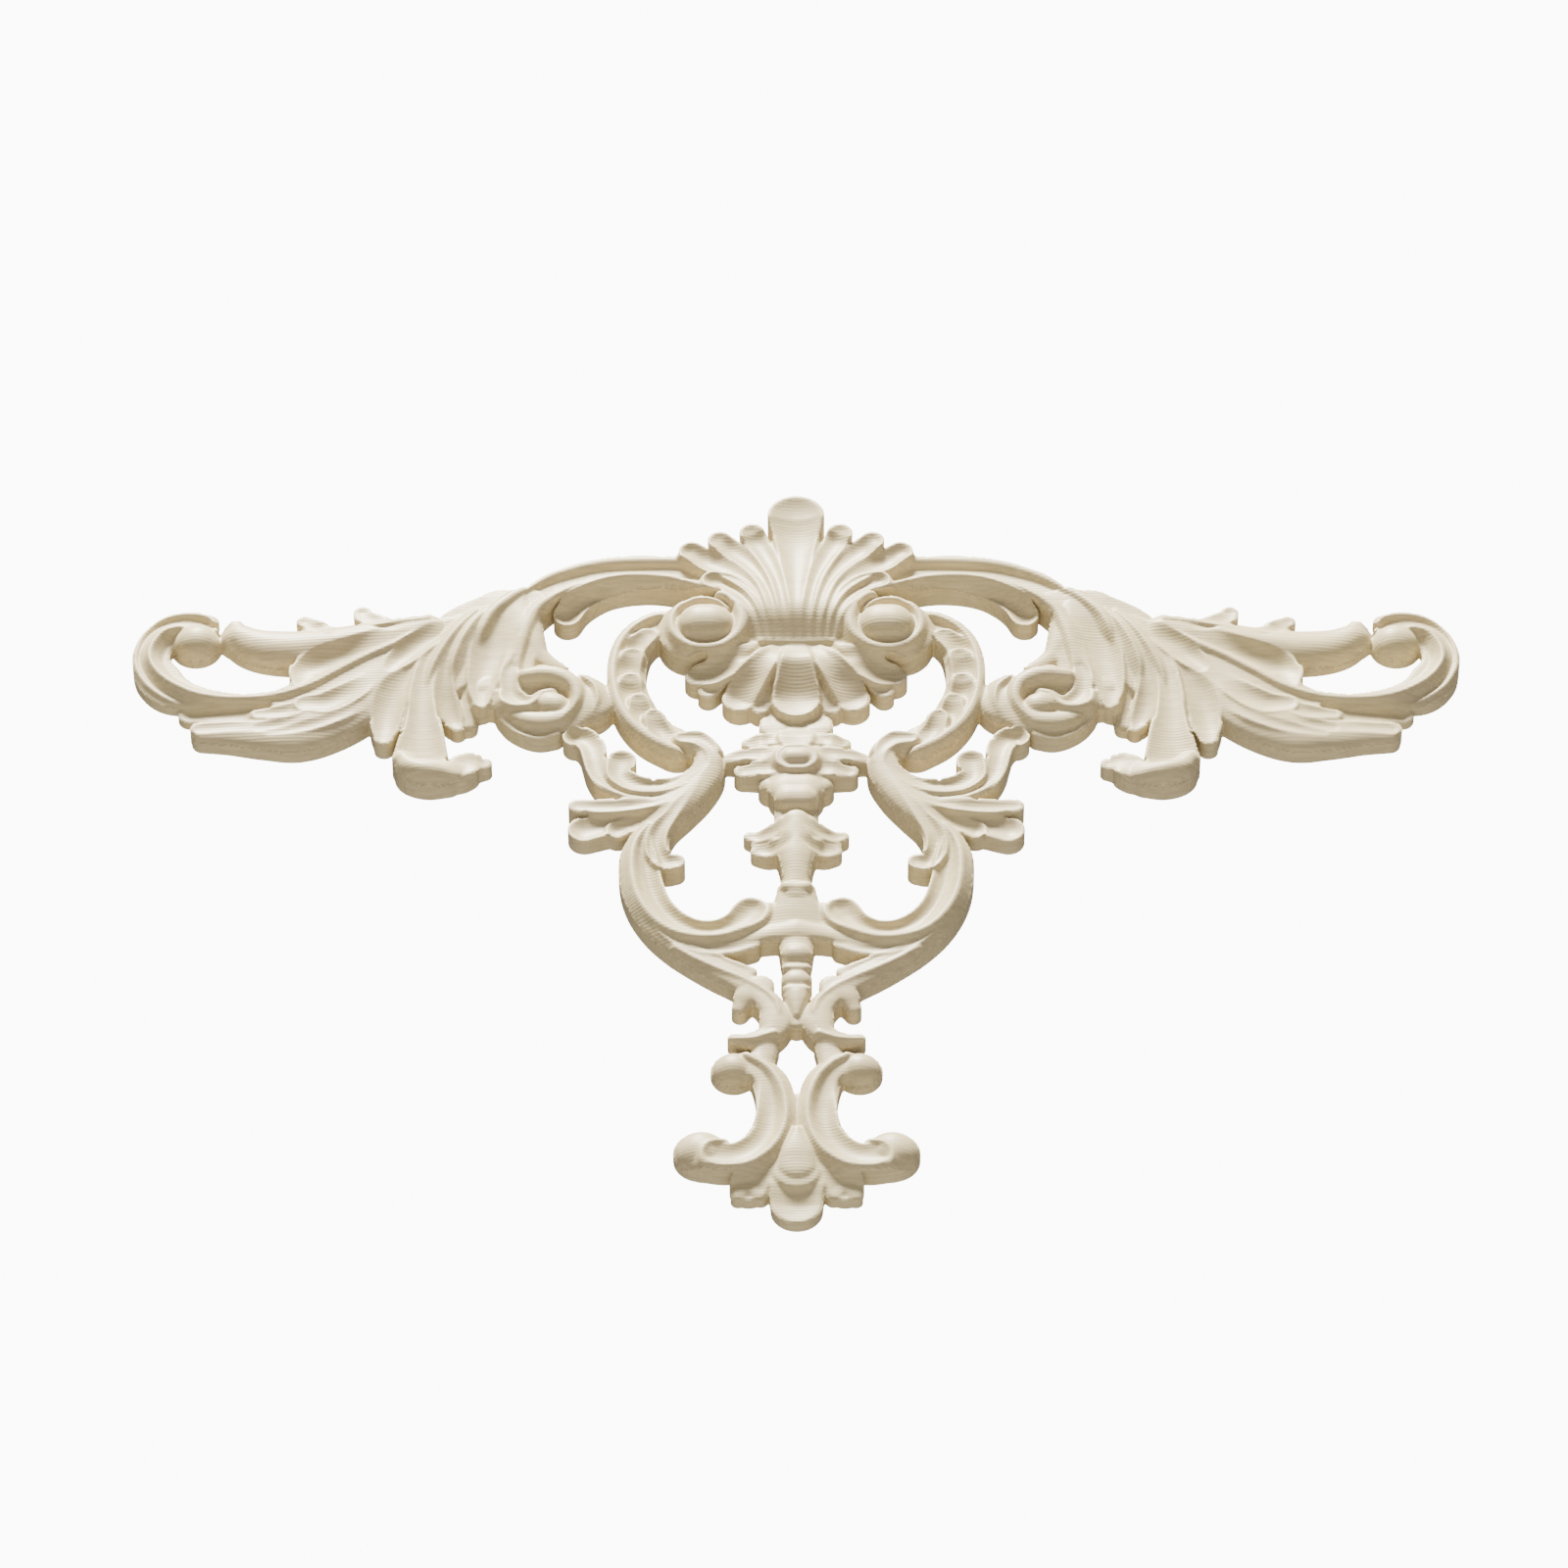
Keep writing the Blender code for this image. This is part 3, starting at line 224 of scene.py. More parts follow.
def wing_end(carve):
    carve([(-190, -24), (-172, -14), (-155, -4)], 6, [8, 9.6, 11])
    # rolled underside of the lower leaf
    carve([(-220, -40.4), (-210, -40), (-198, -39.5), (-186, -37.5), (-174, -31.5), (-163, -22),
           (-152, -10)], [4, 6, 9, 12, 13, 13, 12], [7, 7.6, 8.4, 9.4, 10, 10.4, 11],
          right=[4.4, 6, 9, 12.4, 13, 13, 12], crown=[2.5, 3.2, 4, 4.6, 4, 3, 2])
    # small feather lobe under the scroll
    carve([(-208, -30), (-217, -28.5), (-225.5, -28)], [6, 6, 4.5], [6.5, 5.5, 4], dish=1)
    # scroll bed
    carve([(-221, 20), (-232, 17), (-239, 11), (-243, 4), (-243.5, -3), (-240, -11), (-233, -17.5),
           (-223, -21), (-211, -22.5), (-197, -23)], [4, 5, 7, 9, 10, 11, 9.5, 7, 5.3, 4.2], 4.6,
          right=[3.8, 6.5, 6.2, 5, 4.8, 6.5, 7.3, 5, 4, 4])
    # outer lip
    carve([(-217, 15), (-221, 21), (-230, 23), (-239, 20), (-245, 13), (-247.3, 4), (-247, -4),
           (-243, -13), (-237.5, -19), (-230, -23.5), (-222, -24.5)], 1.3,
          [7, 6.6, 6.2, 6.2, 6.2, 6.2, 6.2, 6.2, 6, 5.5, 5], crown=1.2, flank=1.2, bed=False)
    # ball in the scroll
    carve([(-225, 9)], 9.5, 9.8, crown=9.2)
    # round arm
    carve([(-209, 11), (-203, 7.5), (-196, 5.6), (-186, 4.8), (-174, 5.2), (-162, 6), (-150, 8.5),
           (-138, 11)], [7.4, 9, 9.8, 10, 10, 9.5, 8.5, 7], [8.8, 9, 9.4, 10, 11, 12, 12.5, 13],
          crown=[7, 7.6, 7.8, 8, 7.5, 7, 6, 5])
    # square shoulder where the arm ends
    carve([(-210.5, 15), (-210.5, 8)], 3.6, [7.6, 7], crown=1.4)
    # concave inner leaf between arm and ridge
    carve([(-144, 9), (-156, 4), (-167, -1.5), (-176, -5.4), (-181.4, -8.4), (-181.6, -13)],
          [3, 5, 6.6, 7.6, 7, 6], [13, 12, 11, 10, 9.4, 9], right=[3, 5, 6.6, 7.6, 7.6, 7.4],
          dish=[1, 2, 3, 3.4, 3, 1.6], over=True)
    carve([(-203, -22.4), (-192, -21), (-180, -15)], [4.4, 4.6, 4], [5, 5.6, 7])
    carve([(-204, -28), (-193, -27.6)], 2.6, 5.4)
    # ridge of the scroll running on into the wing
    carve([(-225, 13), (-231, 14.4), (-237, 12.2), (-240.6, 6.6), (-242, 0.4), (-240.6, -5.6),
           (-236.4, -12), (-230, -17.4), (-222, -21.6), (-211, -23.8), (-200, -23.6), (-190, -21.6),
           (-180, -17.2), (-170, -10.5), (-160, -4), (-150, 1.5), (-140, 8)],
          [0.8, 1.2, 1.3, 1.3, 1.3, 1.3, 1.4, 1.5, 1.6, 1.6, 1.6, 1.6, 1.6, 1.6, 1.6, 1.6, 1.4],
          [6.5, 8, 8.4, 8.6, 8.6, 8.6, 8.6, 8.8, 9, 9.2, 9.4, 9.8, 10.4, 11.2, 12, 12.8, 13.4],
          crown=1.2, flank=0.9, bed=False)
    # feathers standing up from the arm
    carve([(-172, 10), (-179, 12.8), (-184.6, 17.4)], [3.8, 4, 3.2], [10, 8.6, 7.4], dish=0.8,
          over=True)
    carve([(-146, 11), (-155, 13.6), (-161.4, 18), (-163, 21.4)], [3, 4.4, 4, 3.4],
          [12.4, 10.8, 9.4, 8.4], dish=1, over=True)
    # crest line along the top of the arm
    carve([(-205, 10), (-194, 8), (-180, 8.6), (-166, 10.6), (-150, 12.6), (-138, 14)], 0.9,
          [8.6, 9, 9.8, 11, 12.6, 13.4], crown=0.6, flank=0.8, bed=False)
    # scallops along the lower leaf, one behind the other
    carve([(-180, -33), (-190, -38), (-199.6, -38.8)], [3.6, 4, 2.8], [10.6, 9.8, 8.4],
          dish=[0.8, 1.4, 0.8], over=True)
    carve([(-178, -26), (-189, -31), (-200.4, -31.8)], [3.4, 4, 3], [10.8, 10, 8.6],
          dish=[0.8, 1.6, 0.8], over=True)
    carve([(-158, -15), (-165, -22), (-174, -27.4), (-183, -27.4)], [4, 5.6, 6, 4.2],
          [12, 11.8, 11.2, 10], dish=[1, 2.2, 2.4, 1.2], over=True)
    carve([(-160, -29), (-170, -35), (-182, -39.6), (-196, -42)], [2.4, 3.2, 3, 1.8],
          [11.2, 10.8, 9.8, 8.4], dish=[0.6, 1, 1, 0.4], over=True)
    # tip of the lower leaf
    carve([(-196, -39), (-209, -38), (-221.5, -38.6)], [3.2, 3.6, 3.4], [8.8, 8.2, 7.4], dish=0.9,
          over=True)


def leaf(carve):
    # bed under all of the lobes
    carve([(-110, 18), (-121, 8), (-131, -5), (-138, -20), (-140, -36)], [10, 14, 14, 11, 7],
          [12, 11, 9.6, 8, 7.6], right=[12, 15, 14, 11, 8])
    carve([(-108, 14), (-106, 4), (-107, -8), (-110, -18)], [8, 9, 9, 7], [11, 10, 9, 8.6],
          right=[8, 9, 9, 7])
    # cheek between the hooked flute and the blade beside it
    carve([(-121, -12), (-121.6, -24), (-121.9, -33.6)], [4, 3.8, 3.6], [9, 7, 5.2],
          crown=[1, 1.4, 1.8])
    # outer lobe with its long tip
    carve([(-128, 6.6), (-136, -4), (-143, -12.2), (-149, -21.2), (-151.5, -30.3), (-152.3, -38.3),
           (-152.8, -44)], [3, 5, 6, 6.8, 6.4, 5.8, 3.8], [13.2, 12.8, 12, 11, 10, 9.2, 8.4],
          dish=[0.4, 1.2, 2, 2.6, 2.6, 2, 0.8], over=True)
    # short side tip lapping over it
    carve([(-122, 16.3), (-131, 9.7), (-139, 3.2), (-145, -2.7), (-149, -7.1), (-151, -10)],
          [2.6, 4.8, 5.8, 5.8, 5, 3.4], [13.8, 13.4, 13, 12.6, 12, 11.2],
          dish=[0.6, 1.6, 2.6, 2.8, 2, 0.8], over=True)
    # middle lobe, the longest
    carve([(-122, 14), (-130, 2), (-136, -8.4), (-138.6, -19.6), (-139, -31.2), (-138.6, -43),
           (-138.8, -54.6)], [2.6, 4, 5.4, 5.6, 6, 8, 10.2],
          [13.8, 13.2, 12.6, 11.8, 11.2, 10.8, 9.6], dish=[0.4, 1, 1.6, 1.8, 2, 2.2, 1.8],
          over=True)
    # hooked flute
    carve([(-120, 16), (-125.6, 5), (-129.6, -6), (-130.8, -16.6), (-129.6, -26.1), (-127.4, -33.4),
           (-125.8, -36.4)], [1.8, 2.8, 3.2, 3.8, 4.6, 4.2, 3],
          [13.8, 13.2, 12.2, 10.8, 9, 7.4, 6.6], dish=[0.3, 0.8, 1.2, 1.6, 2, 1.6, 0.6], over=True)
    # broad blade beside the arc
    carve([(-105, 25), (-109, 17), (-112, 8), (-113.6, -2), (-115.6, -11.6), (-117, -20),
           (-117.2, -26.4)], [3, 8, 9.4, 9, 6.6, 5.4, 3.6],
          [13.4, 13.4, 13.2, 12.4, 11.4, 10.4, 9.4], right=[3, 5.4, 7.4, 8.8, 7.6, 5.8, 3.8],
          dish=[0.6, 2, 3.2, 3.4, 2.8, 2, 0.8], over=True)
    # ribs fanning out from the root
    carve([(-116, 19), (-121.6, 10), (-126, 0), (-128.4, -10), (-128.4, -20)],
          [0.8, 1.2, 1.2, 1, 0.6], [13.4, 14.2, 13.6, 11.8, 8], crown=0.8, flank=0.6, bed=False)
    carve([(-120, 18), (-127, 8), (-132.8, -3), (-136.6, -14), (-138, -26)],
          [0.8, 1.2, 1.2, 1, 0.6], [13.4, 14, 13.4, 11.8, 8.4], crown=0.8, flank=0.6, bed=False)
    # the tip of the middle lobe curls up and sweeps round to the right
    carve([(-145.4, -56), (-142, -60.6), (-136, -62.8), (-129, -62.4)], [4, 5.6, 6, 5.4],
          [11.2, 12.4, 12.8, 11.4], crown=[4, 7, 8, 7])
    carve([(-131, -64.4), (-125, -60.6), (-119.4, -56.6), (-115.4, -56.2)], [3, 5.6, 5.2, 3],
          [11, 10.4, 8.6, 7], dish=[0.4, 1, 1, 0.6], over=True)
    # inner flank towards the opening of the arc, running out in a point
    carve([(-100, 22), (-99, 13), (-98.4, 5), (-96.4, -0.6), (-92.4, -3.8), (-87.4, -5.6)],
          [3, 4, 4.6, 4, 2.8, 1], [11.5, 11, 10.5, 9.6, 8.6, 7.6], right=[3, 4, 4, 4, 4, 3],
          crown=[2.5, 2.5, 2.5, 2, 1.2, 0.6])


def arc(carve):
    carve([(-102, 26), (-98, 25)], 4.6, 11.6)
    # channel between the lips
    carve([(-30, 40), (-50, 41.5), (-62, 41.8), (-74, 39.8), (-84, 35.6), (-92, 30), (-99, 22)],
          [4, 4, 4, 4, 4.4, 5, 5], [10.2, 10.2, 10.2, 10.2, 10.2, 10.6, 11],
          right=[6.5, 6.3, 6.3, 6.6, 7, 7.4, 7])
    # outer lip
    carve([(-40, 45.8), (-50, 46.3), (-64, 46), (-75, 44.7), (-85, 41.6), (-93, 37.6), (-101, 31.6),
           (-108, 25), (-114, 17.5), (-117.5, 9), (-119, 1)],
          [2.2, 2.2, 2.2, 2.2, 2.2, 2.2, 2.2, 2, 1.8, 1.5, 0.9],
          [12.4, 12.4, 12.4, 12.4, 12.4, 12.6, 12.9, 13.5, 14, 13.4, 10.6], crown=1, flank=1,
          bed=False)
    # inner ridge, running on down the side of the leaf
    carve([(-36, 31.4), (-47, 36), (-60, 37.4), (-70, 36.4), (-79, 33.2), (-87, 28.8), (-94, 24),
           (-98.5, 18.6), (-101.4, 11), (-103.4, 2), (-104.6, -7)],
          [1.6, 1.6, 1.6, 1.6, 1.6, 1.7, 2, 2.4, 2.6, 2.4, 1.6],
          [13, 13, 13, 13, 13, 13, 13, 12.8, 12.6, 12, 10.8], crown=1.2, flank=1.3, bed=False)
    # steep cheek below the ridge with its blunt end
    carve([(-30, 30), (-48, 35.5), (-60, 36.2), (-70, 34), (-77, 30.2), (-82.5, 25.4), (-86, 20)],
          [3, 3, 3.2, 3.4, 4, 4.8, 5.4], [7.4, 7.4, 7.4, 7.6, 8.2, 8.8, 9],
          right=[3, 3, 3, 3.2, 3.8, 4.6, 5.2], dish=[0.3, 0.4, 0.6, 1, 1.8, 2.8, 3])


def ring(carve):
    carve([(-44, 15), (-49, 15), (-54, 12.6), (-58.5, 8), (-61.4, 2), (-63.2, -9), (-62.6, -19),
           (-60, -28.5), (-56.5, -35.5), (-51.6, -41.6), (-44, -47)],
          [6, 6.3, 6.5, 7, 7, 7.2, 7.2, 7.8, 8, 8, 8], 8, crown=1.4)
    # leaf tips lapping up along the inside
    carve([(-62, -6), (-60.4, 2), (-56, 7.8)], [5, 5.4, 4.4], [8.4, 9.8, 10.6], right=4.8,
          dish=[1, 2.4, 1.6], over=True)
    carve([(-62.4, -18), (-62.4, -9), (-61.2, -3)], [5, 5.6, 4.8], [8.4, 9.8, 10.8], right=4.8,
          dish=[1, 2.6, 1.8], over=True)
    carve([(-59, -30), (-61.4, -21), (-61.6, -16)], [5, 5.6, 4.8], [8.4, 9.8, 10.8], right=4.6,
          dish=[1, 2.6, 1.8], over=True)
    carve([(-53, -39.6), (-57, -32), (-58.4, -26.6)], [5, 5.4, 4.6], [8.6, 10, 10.8], right=4.6,
          dish=[1, 2.6, 1.8], over=True)
    carve([(-46, -47), (-50.6, -40.4), (-52.8, -35)], [4.6, 5, 4.4], [9, 10.2, 11], right=4.4,
          dish=[1, 2.4, 1.8], over=True)
    # smooth outer band
    carve([(-46, 19), (-54, 17.4), (-61, 12), (-65.6, 4), (-67.8, -7), (-67.4, -18), (-64.6, -29),
           (-59.4, -38.5), (-52, -46), (-44, -51)], 1.1, 10.2, right=2.7, crown=1.4, flank=1.4)


def knob(carve):
    # cushion that the volute is cut in
    carve([(-99, -26.6), (-88, -27.5), (-79, -25)], [13.4, 13.4, 11.6], [8.4, 10, 10.6],
          crown=[1.5, 2.4, 4])
    carve([(-108, -22), (-101, -16)], 5, [8.6, 9.4])
    carve([(-114, -18), (-112.6, -24.4)], 4.6, [9, 7.4])
    # outer crescent below
    carve([(-109, -27), (-107.2, -33.4), (-102, -38.6), (-95.6, -41.4), (-89.4, -40.6)],
          [2, 2.8, 3, 3, 2.6], [8.6, 8.4, 8.2, 8.2, 8.8], dish=[0.6, 1.2, 1.4, 1.2, 0.6], over=True)
    # full roll between it and the cup
    carve([(-107.6, -28.4), (-102, -34), (-94.6, -36.2), (-87, -34.4), (-82, -28)],
          [2.6, 3.6, 4, 4, 3], [9.6, 10.4, 11, 11.2, 11], crown=[1.6, 2.2, 2.4, 2.4, 1.6])
    # cup that the band of the arc runs down into
    carve([(-104, 6), (-105.6, -4), (-107, -14), (-106, -22.4), (-101.4, -26.6), (-96.4, -26)],
          [3, 3.6, 4, 4, 3.8, 2.4], [11.4, 11.4, 11.2, 11, 11, 11], dish=[0.4, 0.8, 1.4, 2, 2, 1],
          over=True)
    # deep hollow inside the volute
    carve([(-103, -19), (-97, -20.8), (-91, -21), (-86.6, -24), (-85.4, -29)],
          [1.4, 2.4, 2.6, 2.4, 1.4], [9, 8, 8, 8.2, 9], over=True)
    # eye and the rim of the cup that winds up to it
    carve([(-91.4, -28), (-89.6, -28.6)], 5.2, 12.6, crown=3.6)
    carve([(-110.6, -22), (-109, -27.6), (-104.4, -30.6), (-99.4, -30), (-96.4, -27), (-94.6, -24),
           (-91, -22.8)], [0.9, 1.1, 1.2, 1.2, 1.2, 1.2, 1], [10.6, 11.4, 11.8, 11.8, 11.8, 12, 12],
          crown=0.8, flank=1, bed=False)
    # rolled band winding round the eye
    carve([(-100.6, -14.6), (-95, -13.9), (-88.4, -15.2), (-83, -19.4), (-81.4, -26), (-83.4, -32),
           (-87, -36), (-91.4, -38.8)], [3.2, 3.6, 3.7, 3.2, 2.2, 1.4, 1.1, 0.8],
          [13, 13.6, 13.8, 13.4, 12.8, 12, 11.2, 10], crown=[2.6, 2.8, 2.8, 2.4, 1.6, 1, 0.8, 0.6],
          flank=1.6)
    # line on the cushion's cheek
    carve([(-79.6, -15), (-75.2, -19.6), (-73.8, -26), (-75, -31.6)], [0.8, 0.9, 0.9, 0.6],
          [11.6, 11.6, 11.2, 10], crown=0.6, flank=0.8, bed=False)


def shell(carve):
    carve([(-36, 35.6), (-30, 34)], 4, 10.4)
    carve([(-20, 2.4)], 6, 11.6)
    carve([(0, 50), (0, 40), (0, 20), (0, -4)], [10, 20, 20, 16], [13, 13, 13, 11],
          crown=[2, 2, 2, 3])
    carve([(-12, 34), (-26, 44)], [9, 6], [13, 12], crown=1)
    # flutes that gather at the waist, swell above it, dip and curl up again at their tips
    carve([(-13, 4), (-15.4, 14), (-19.6, 23.6), (-25.6, 30.6), (-31.2, 32.4)],
          [1.9, 2.8, 4, 4.6, 4.2], [12.6, 17, 16.6, 15.4, 15.6], dish=[0.4, 1, 1.8, 2.2, 2.4])
    carve([(-10, 4), (-12, 15), (-16.4, 27), (-24.6, 37.4), (-33, 44), (-39.4, 48.6)],
          [1.9, 2.6, 3.6, 4.6, 5.2, 4.8], [12.8, 17.6, 16.8, 15, 13.8, 15],
          dish=[0.4, 1, 1.4, 1.8, 2.2, 2.6])
    carve([(-7, 4), (-8.6, 15), (-12, 30), (-17.6, 42), (-24, 49.4), (-28.8, 53.4)],
          [1.9, 2.4, 3.2, 4.2, 4.8, 4.6], [12.8, 18, 17, 15, 14.4, 15.8],
          dish=[0.4, 1, 1.4, 1.8, 2, 2])
    carve([(-3.8, 4), (-4.8, 15), (-7.6, 32), (-11.8, 46), (-15, 53.6), (-16.6, 57)],
          [1.8, 2.2, 3, 4, 4.8, 4.8], [12.8, 18.2, 17.2, 15.2, 14.8, 16.2],
          dish=[0.4, 1, 1.4, 1.6, 1.8, 1.8])
    carve([(0, 4), (0, 15), (0, 30), (0, 44), (0, 54), (0, 61), (0, 64.4)],
          [1.8, 2.6, 4.2, 6.4, 8.4, 10, 10.8], [12.8, 18.4, 17.4, 15.8, 15.6, 16.8, 17.8],
          dish=[0.4, 0.8, 1.4, 1.8, 2.2, 2.6, 2.8])
    # straight cut across their lower ends
    carve([(-17, 3.4), (-10, 2.8), (-5, 2.5), (0, 2.4)], 1.1, [12.6, 12.4, 12.4, 12.4], over=True,
          bed=False)
    # skirt lobes that swell below the waist and fall away to their tips
    carve([(-28, -14), (-32.8, -18.8)], [3.4, 3.8], [8.5, 7.4], dish=0.6)
    carve([(-10, 1), (-15, -2.4), (-21, -6.4), (-27, -9.8), (-32, -11.8), (-36.6, -11.6)],
          [2.4, 4.4, 6, 6.6, 6.4, 5], [12.5, 14.4, 13.6, 12, 10, 7.8],
          dish=[0.4, 1, 2, 2.6, 2.2, 0.8], over=True)
    carve([(-11, -18), (-13.6, -27.4)], [2.4, 3.6], [9, 7.4], dish=0.5)
    carve([(-6, 1), (-9.4, -4), (-13, -10.4), (-17.4, -17.4), (-21, -23.6)],
          [2.4, 4.6, 6, 6.8, 6.6], [12.5, 15, 14.6, 12, 8], dish=[0.4, 1, 2, 2.8, 1.2], over=True)
    carve([(0, 1.5), (0, -3), (0, -9), (0, -16), (0, -22), (0, -25.4)], [4, 5.4, 6.6, 8, 9, 9.4],
          [12.5, 15, 15.8, 13.8, 11, 9.6], dish=[0.3, 0.8, 1.4, 2.2, 2.2, 1.4], over=True)
    # volute body, spiral rim and ball
    carve([(-38, 8.5), (-33, 10), (-26, 14)], [13.4, 15, 12], [12, 12.5, 13], crown=2)
    carve([(-42, 33.8), (-35, 30), (-27.4, 24.8), (-22, 17.8), (-20.2, 11), (-22.4, 3.6),
           (-28, -1.4), (-35.6, -2.4), (-42, 0.8), (-46.2, 7), (-46.4, 14), (-43, 19.8),
           (-36.8, 22.8), (-30, 21.6), (-25.2, 17.6)],
          [1.2, 1.9, 2.2, 2.4, 2.4, 2.2, 2.1, 2, 1.9, 1.8, 1.7, 1.6, 1.4, 1.2, 0.9],
          [13.6, 14.8, 16, 16.6, 16.4, 15.8, 15.2, 14.8, 14.4, 14.4, 14.6, 14.8, 15, 15, 14.5],
          crown=1.5, flank=1.4, bed=False)
    carve([(-35.6, 10.2), (-32, 10.2)], 9.2, 19.3, crown=7.4)


def sscroll(carve):
    # trunk from the foot of the ring down to the small hook
    carve([(-37, -47.4), (-32.4, -53), (-33, -62), (-38, -71.6), (-44, -80), (-49.4, -88),
           (-51.6, -96), (-51, -103)], [5.4, 5.5, 6.5, 7, 7, 6.4, 5.4, 4.6],
          [10.6, 10.6, 10.8, 11, 11, 10.8, 10.4, 9.6], right=[5.4, 5.5, 6, 6.5, 7, 7.5, 7, 6],
          crown=[3, 3, 3.4, 4, 4, 4, 3, 2])
    # fishtail
    carve([(-46, -79), (-58, -84), (-69, -87.6), (-77.6, -90.4)], [3, 4.8, 6, 6.2],
          [10.4, 9.6, 8.6, 8], dish=[0.8, 1.8, 2.4, 2.2], over=True)
    carve([(-46, -80.4), (-56, -86), (-65.6, -90.2)], [2.6, 4, 4.6], [10.4, 9, 8],
          dish=[0.6, 1.6, 2], over=True)
    carve([(-37, -69), (-47, -76.2), (-58, -79.8), (-70, -80.8), (-80.6, -79.6)],
          [2.4, 3.2, 3.6, 3.8, 3.2], [11.2, 11, 10.6, 10, 9], dish=[0.4, 1, 1.4, 1.4, 0.8],
          over=True)
    # blade out to the outer curl, ending in a scoop
    carve([(-34, -58), (-41, -68.6), (-51, -73.8), (-62, -73), (-69.4, -68.2), (-73.4, -61.6),
           (-75, -55), (-76.2, -49.4), (-78.6, -45), (-81.4, -43.6)],
          [2.6, 3.6, 4.2, 4.4, 4.4, 4, 4, 4.2, 4.8, 5.2],
          [11.2, 11, 10.6, 10.2, 9.8, 9.8, 9.8, 9.6, 9.6, 9.4],
          right=[2.6, 3.6, 4.2, 4.4, 4.4, 4.4, 5.2, 5.6, 5.2, 5.2],
          dish=[0.6, 1.2, 1.6, 1.6, 1.6, 1.6, 1.8, 2.2, 3, 3.6], over=True)
    carve([(-54, -76.4), (-63, -75.6), (-70.6, -71), (-75.2, -64.4)], [0.6, 0.9, 0.9, 0.6],
          [9.4, 10, 9.8, 8.6], crown=0.6, flank=0.8, bed=False)
    # blade up to the inner curl, ending in a scoop
    carve([(-31.6, -49), (-35, -59), (-42, -66), (-51, -69.6), (-59.6, -68.8), (-65, -64.2),
           (-64.6, -57.8)], [2.4, 3.6, 4.4, 5, 5.2, 5.2, 5.6],
          [11.6, 11.6, 11.4, 11.2, 11, 10.8, 10.4], right=[2.4, 2.6, 2, 2.6, 3.8, 5, 5.6],
          dish=[0.6, 1.6, 2.2, 2.4, 2.4, 2.4, 2.2], over=True)
    # leaf lapping over the end of the ring
    carve([(-30, -62), (-31, -53), (-36, -46.8), (-42.4, -46)], [2.4, 3.2, 4, 3.4],
          [11.4, 11.8, 11.8, 11.2], dish=[0.4, 1.2, 2, 1.4], over=True)
    # crest of the trunk and the hooked scoop it ends in
    carve([(-34, -64), (-40, -75), (-46.6, -86), (-51, -95), (-51.4, -103), (-48, -108.2),
           (-44.2, -108.4)], [1.6, 2.6, 3.8, 4.4, 4.8, 4.8, 3.6],
          [11.6, 11.8, 11.6, 11.4, 11.2, 10.8, 10], right=[1.2, 1.6, 2.4, 3.4, 4, 4.4, 3.6],
          dish=[0.3, 0.8, 1.6, 2.4, 3, 2.8, 1.4], over=True)


